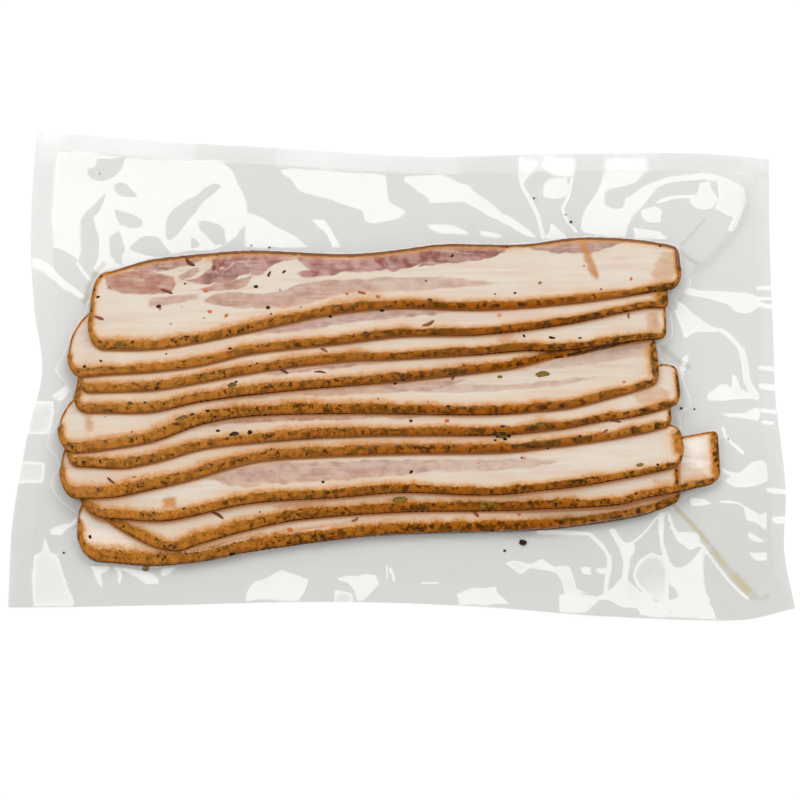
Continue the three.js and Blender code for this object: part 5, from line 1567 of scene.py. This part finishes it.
def studio(stage):
    """A bright ring overhead around a dark flag, where the level film would mirror it, and a dimmer room."""
    world = bpy.data.worlds.new("studio")
    world.use_nodes = True
    tree = world.node_tree
    way = tree.nodes.new("ShaderNodeTexCoord").outputs["Generated"]
    flag = tree.nodes.new("ShaderNodeVectorMath")
    flag.operation = "DOT_PRODUCT"
    flag.inputs[1].default_value = Vector((0, math.tan(stage.flag_tilt), 1)).normalized()
    tree.links.new(way, flag.inputs[0])
    both = tree.nodes.new("ShaderNodeMath")
    both.operation = "MULTIPLY"
    fades = ((FLAG_ENDS, 1.0, 0.0), (RING_ENDS, stage.room, stage.ring))
    for socket, ((outer, inner), outside, inside) in zip(both.inputs, fades):
        fade = tree.nodes.new("ShaderNodeMapRange")
        fade.interpolation_type = "SMOOTHSTEP"
        fade.inputs["From Min"].default_value = math.cos(math.radians(outer))
        fade.inputs["From Max"].default_value = math.cos(math.radians(inner))
        fade.inputs["To Min"].default_value = outside
        fade.inputs["To Max"].default_value = inside
        tree.links.new(flag.outputs["Value"], fade.inputs["Value"])
        tree.links.new(fade.outputs["Result"], socket)
    background = tree.nodes["Background"]
    background.inputs["Color"].default_value = (1, 1, 1, 1)
    tree.links.new(both.outputs[0], background.inputs["Strength"])
    return world


class PACK_OT_stage(bpy.types.Operator):
    """Set up the pale floor, the soft light all round and the camera"""
    bl_idname = "bacon_pack.stage"
    bl_label = "Stage"

    def execute(self, context):
        scene = context.scene
        stage = scene.pack_stage
        corners = [(-1, -1), (1, -1), (1, 1), (-1, 1)]
        floor = mesh_object("floor", [(a * FLOOR_HALF, b * FLOOR_HALF, FLOOR_HEIGHT) for a, b in corners],
                            np.array([[0, 1, 2, 3]]))
        n = Nodes("pale_floor")
        shade = n.noise(n.add("ShaderNodeTexCoord").outputs["Object"], 3.0)
        colour = n.blend(shade, linear((232, 232, 232)), linear((234, 234, 234)))
        floor.data.materials.append(n.matt(colour, 0.9))
        scene.world = studio(stage)
        camera = bpy.data.cameras.new("camera")
        camera.sensor_width = SENSOR
        camera.lens = FOCAL * SENSOR / PIXELS
        camera.shift_x, camera.shift_y = SHIFT[0] / PIXELS, SHIFT[1] / PIXELS
        camera.clip_start = 0.05
        rig = bpy.data.objects.new("camera", camera)
        rig.location = (0, -stage.camera_distance * math.sin(stage.camera_tilt),
                        stage.camera_distance * math.cos(stage.camera_tilt))
        rig.rotation_euler = (stage.camera_tilt, 0, 0)
        scene.collection.objects.link(rig)
        scene.camera = rig
        scene.view_settings.view_transform = "Standard"
        return {"FINISHED"}


class PACK_PT_panel(bpy.types.Panel):
    """The settings, and a button for each step in order"""
    bl_label = "Bacon pack"
    bl_idname = "PACK_PT_panel"
    bl_space_type = "VIEW_3D"
    bl_region_type = "UI"
    bl_category = "Bacon pack"

    def draw(self, context):
        for key, group in GROUPS.items():
            box = self.layout.box()
            for name in group.__annotations__:
                box.prop(getattr(context.scene, key), name)
        for operator in OPERATORS:
            self.layout.operator(operator.bl_idname)


OPERATORS = (PACK_OT_slices, PACK_OT_spices, PACK_OT_film, PACK_OT_stage)
GROUPS = {"pack_meat": PackMeatSettings, "pack_film": PackFilmSettings, "pack_stage": PackStageSettings}


def register():
    """Add the settings, the operators and the panel to Blender."""
    for group in GROUPS.values():
        bpy.utils.register_class(group)
    for key, group in GROUPS.items():
        setattr(bpy.types.Scene, key, PointerProperty(type=group))
    for cls in OPERATORS + (PACK_PT_panel,):
        bpy.utils.register_class(cls)


def unregister():
    """Take them away again."""
    for cls in reversed(OPERATORS + (PACK_PT_panel,)):
        bpy.utils.unregister_class(cls)
    for key in GROUPS:
        delattr(bpy.types.Scene, key)
    for group in reversed(list(GROUPS.values())):
        bpy.utils.unregister_class(group)


def main():
    """Build the whole scene."""
    register()
    for operator in OPERATORS:
        group, call = operator.bl_idname.split(".")
        getattr(getattr(bpy.ops, group), call)()


if __name__ == "__main__":
    main()
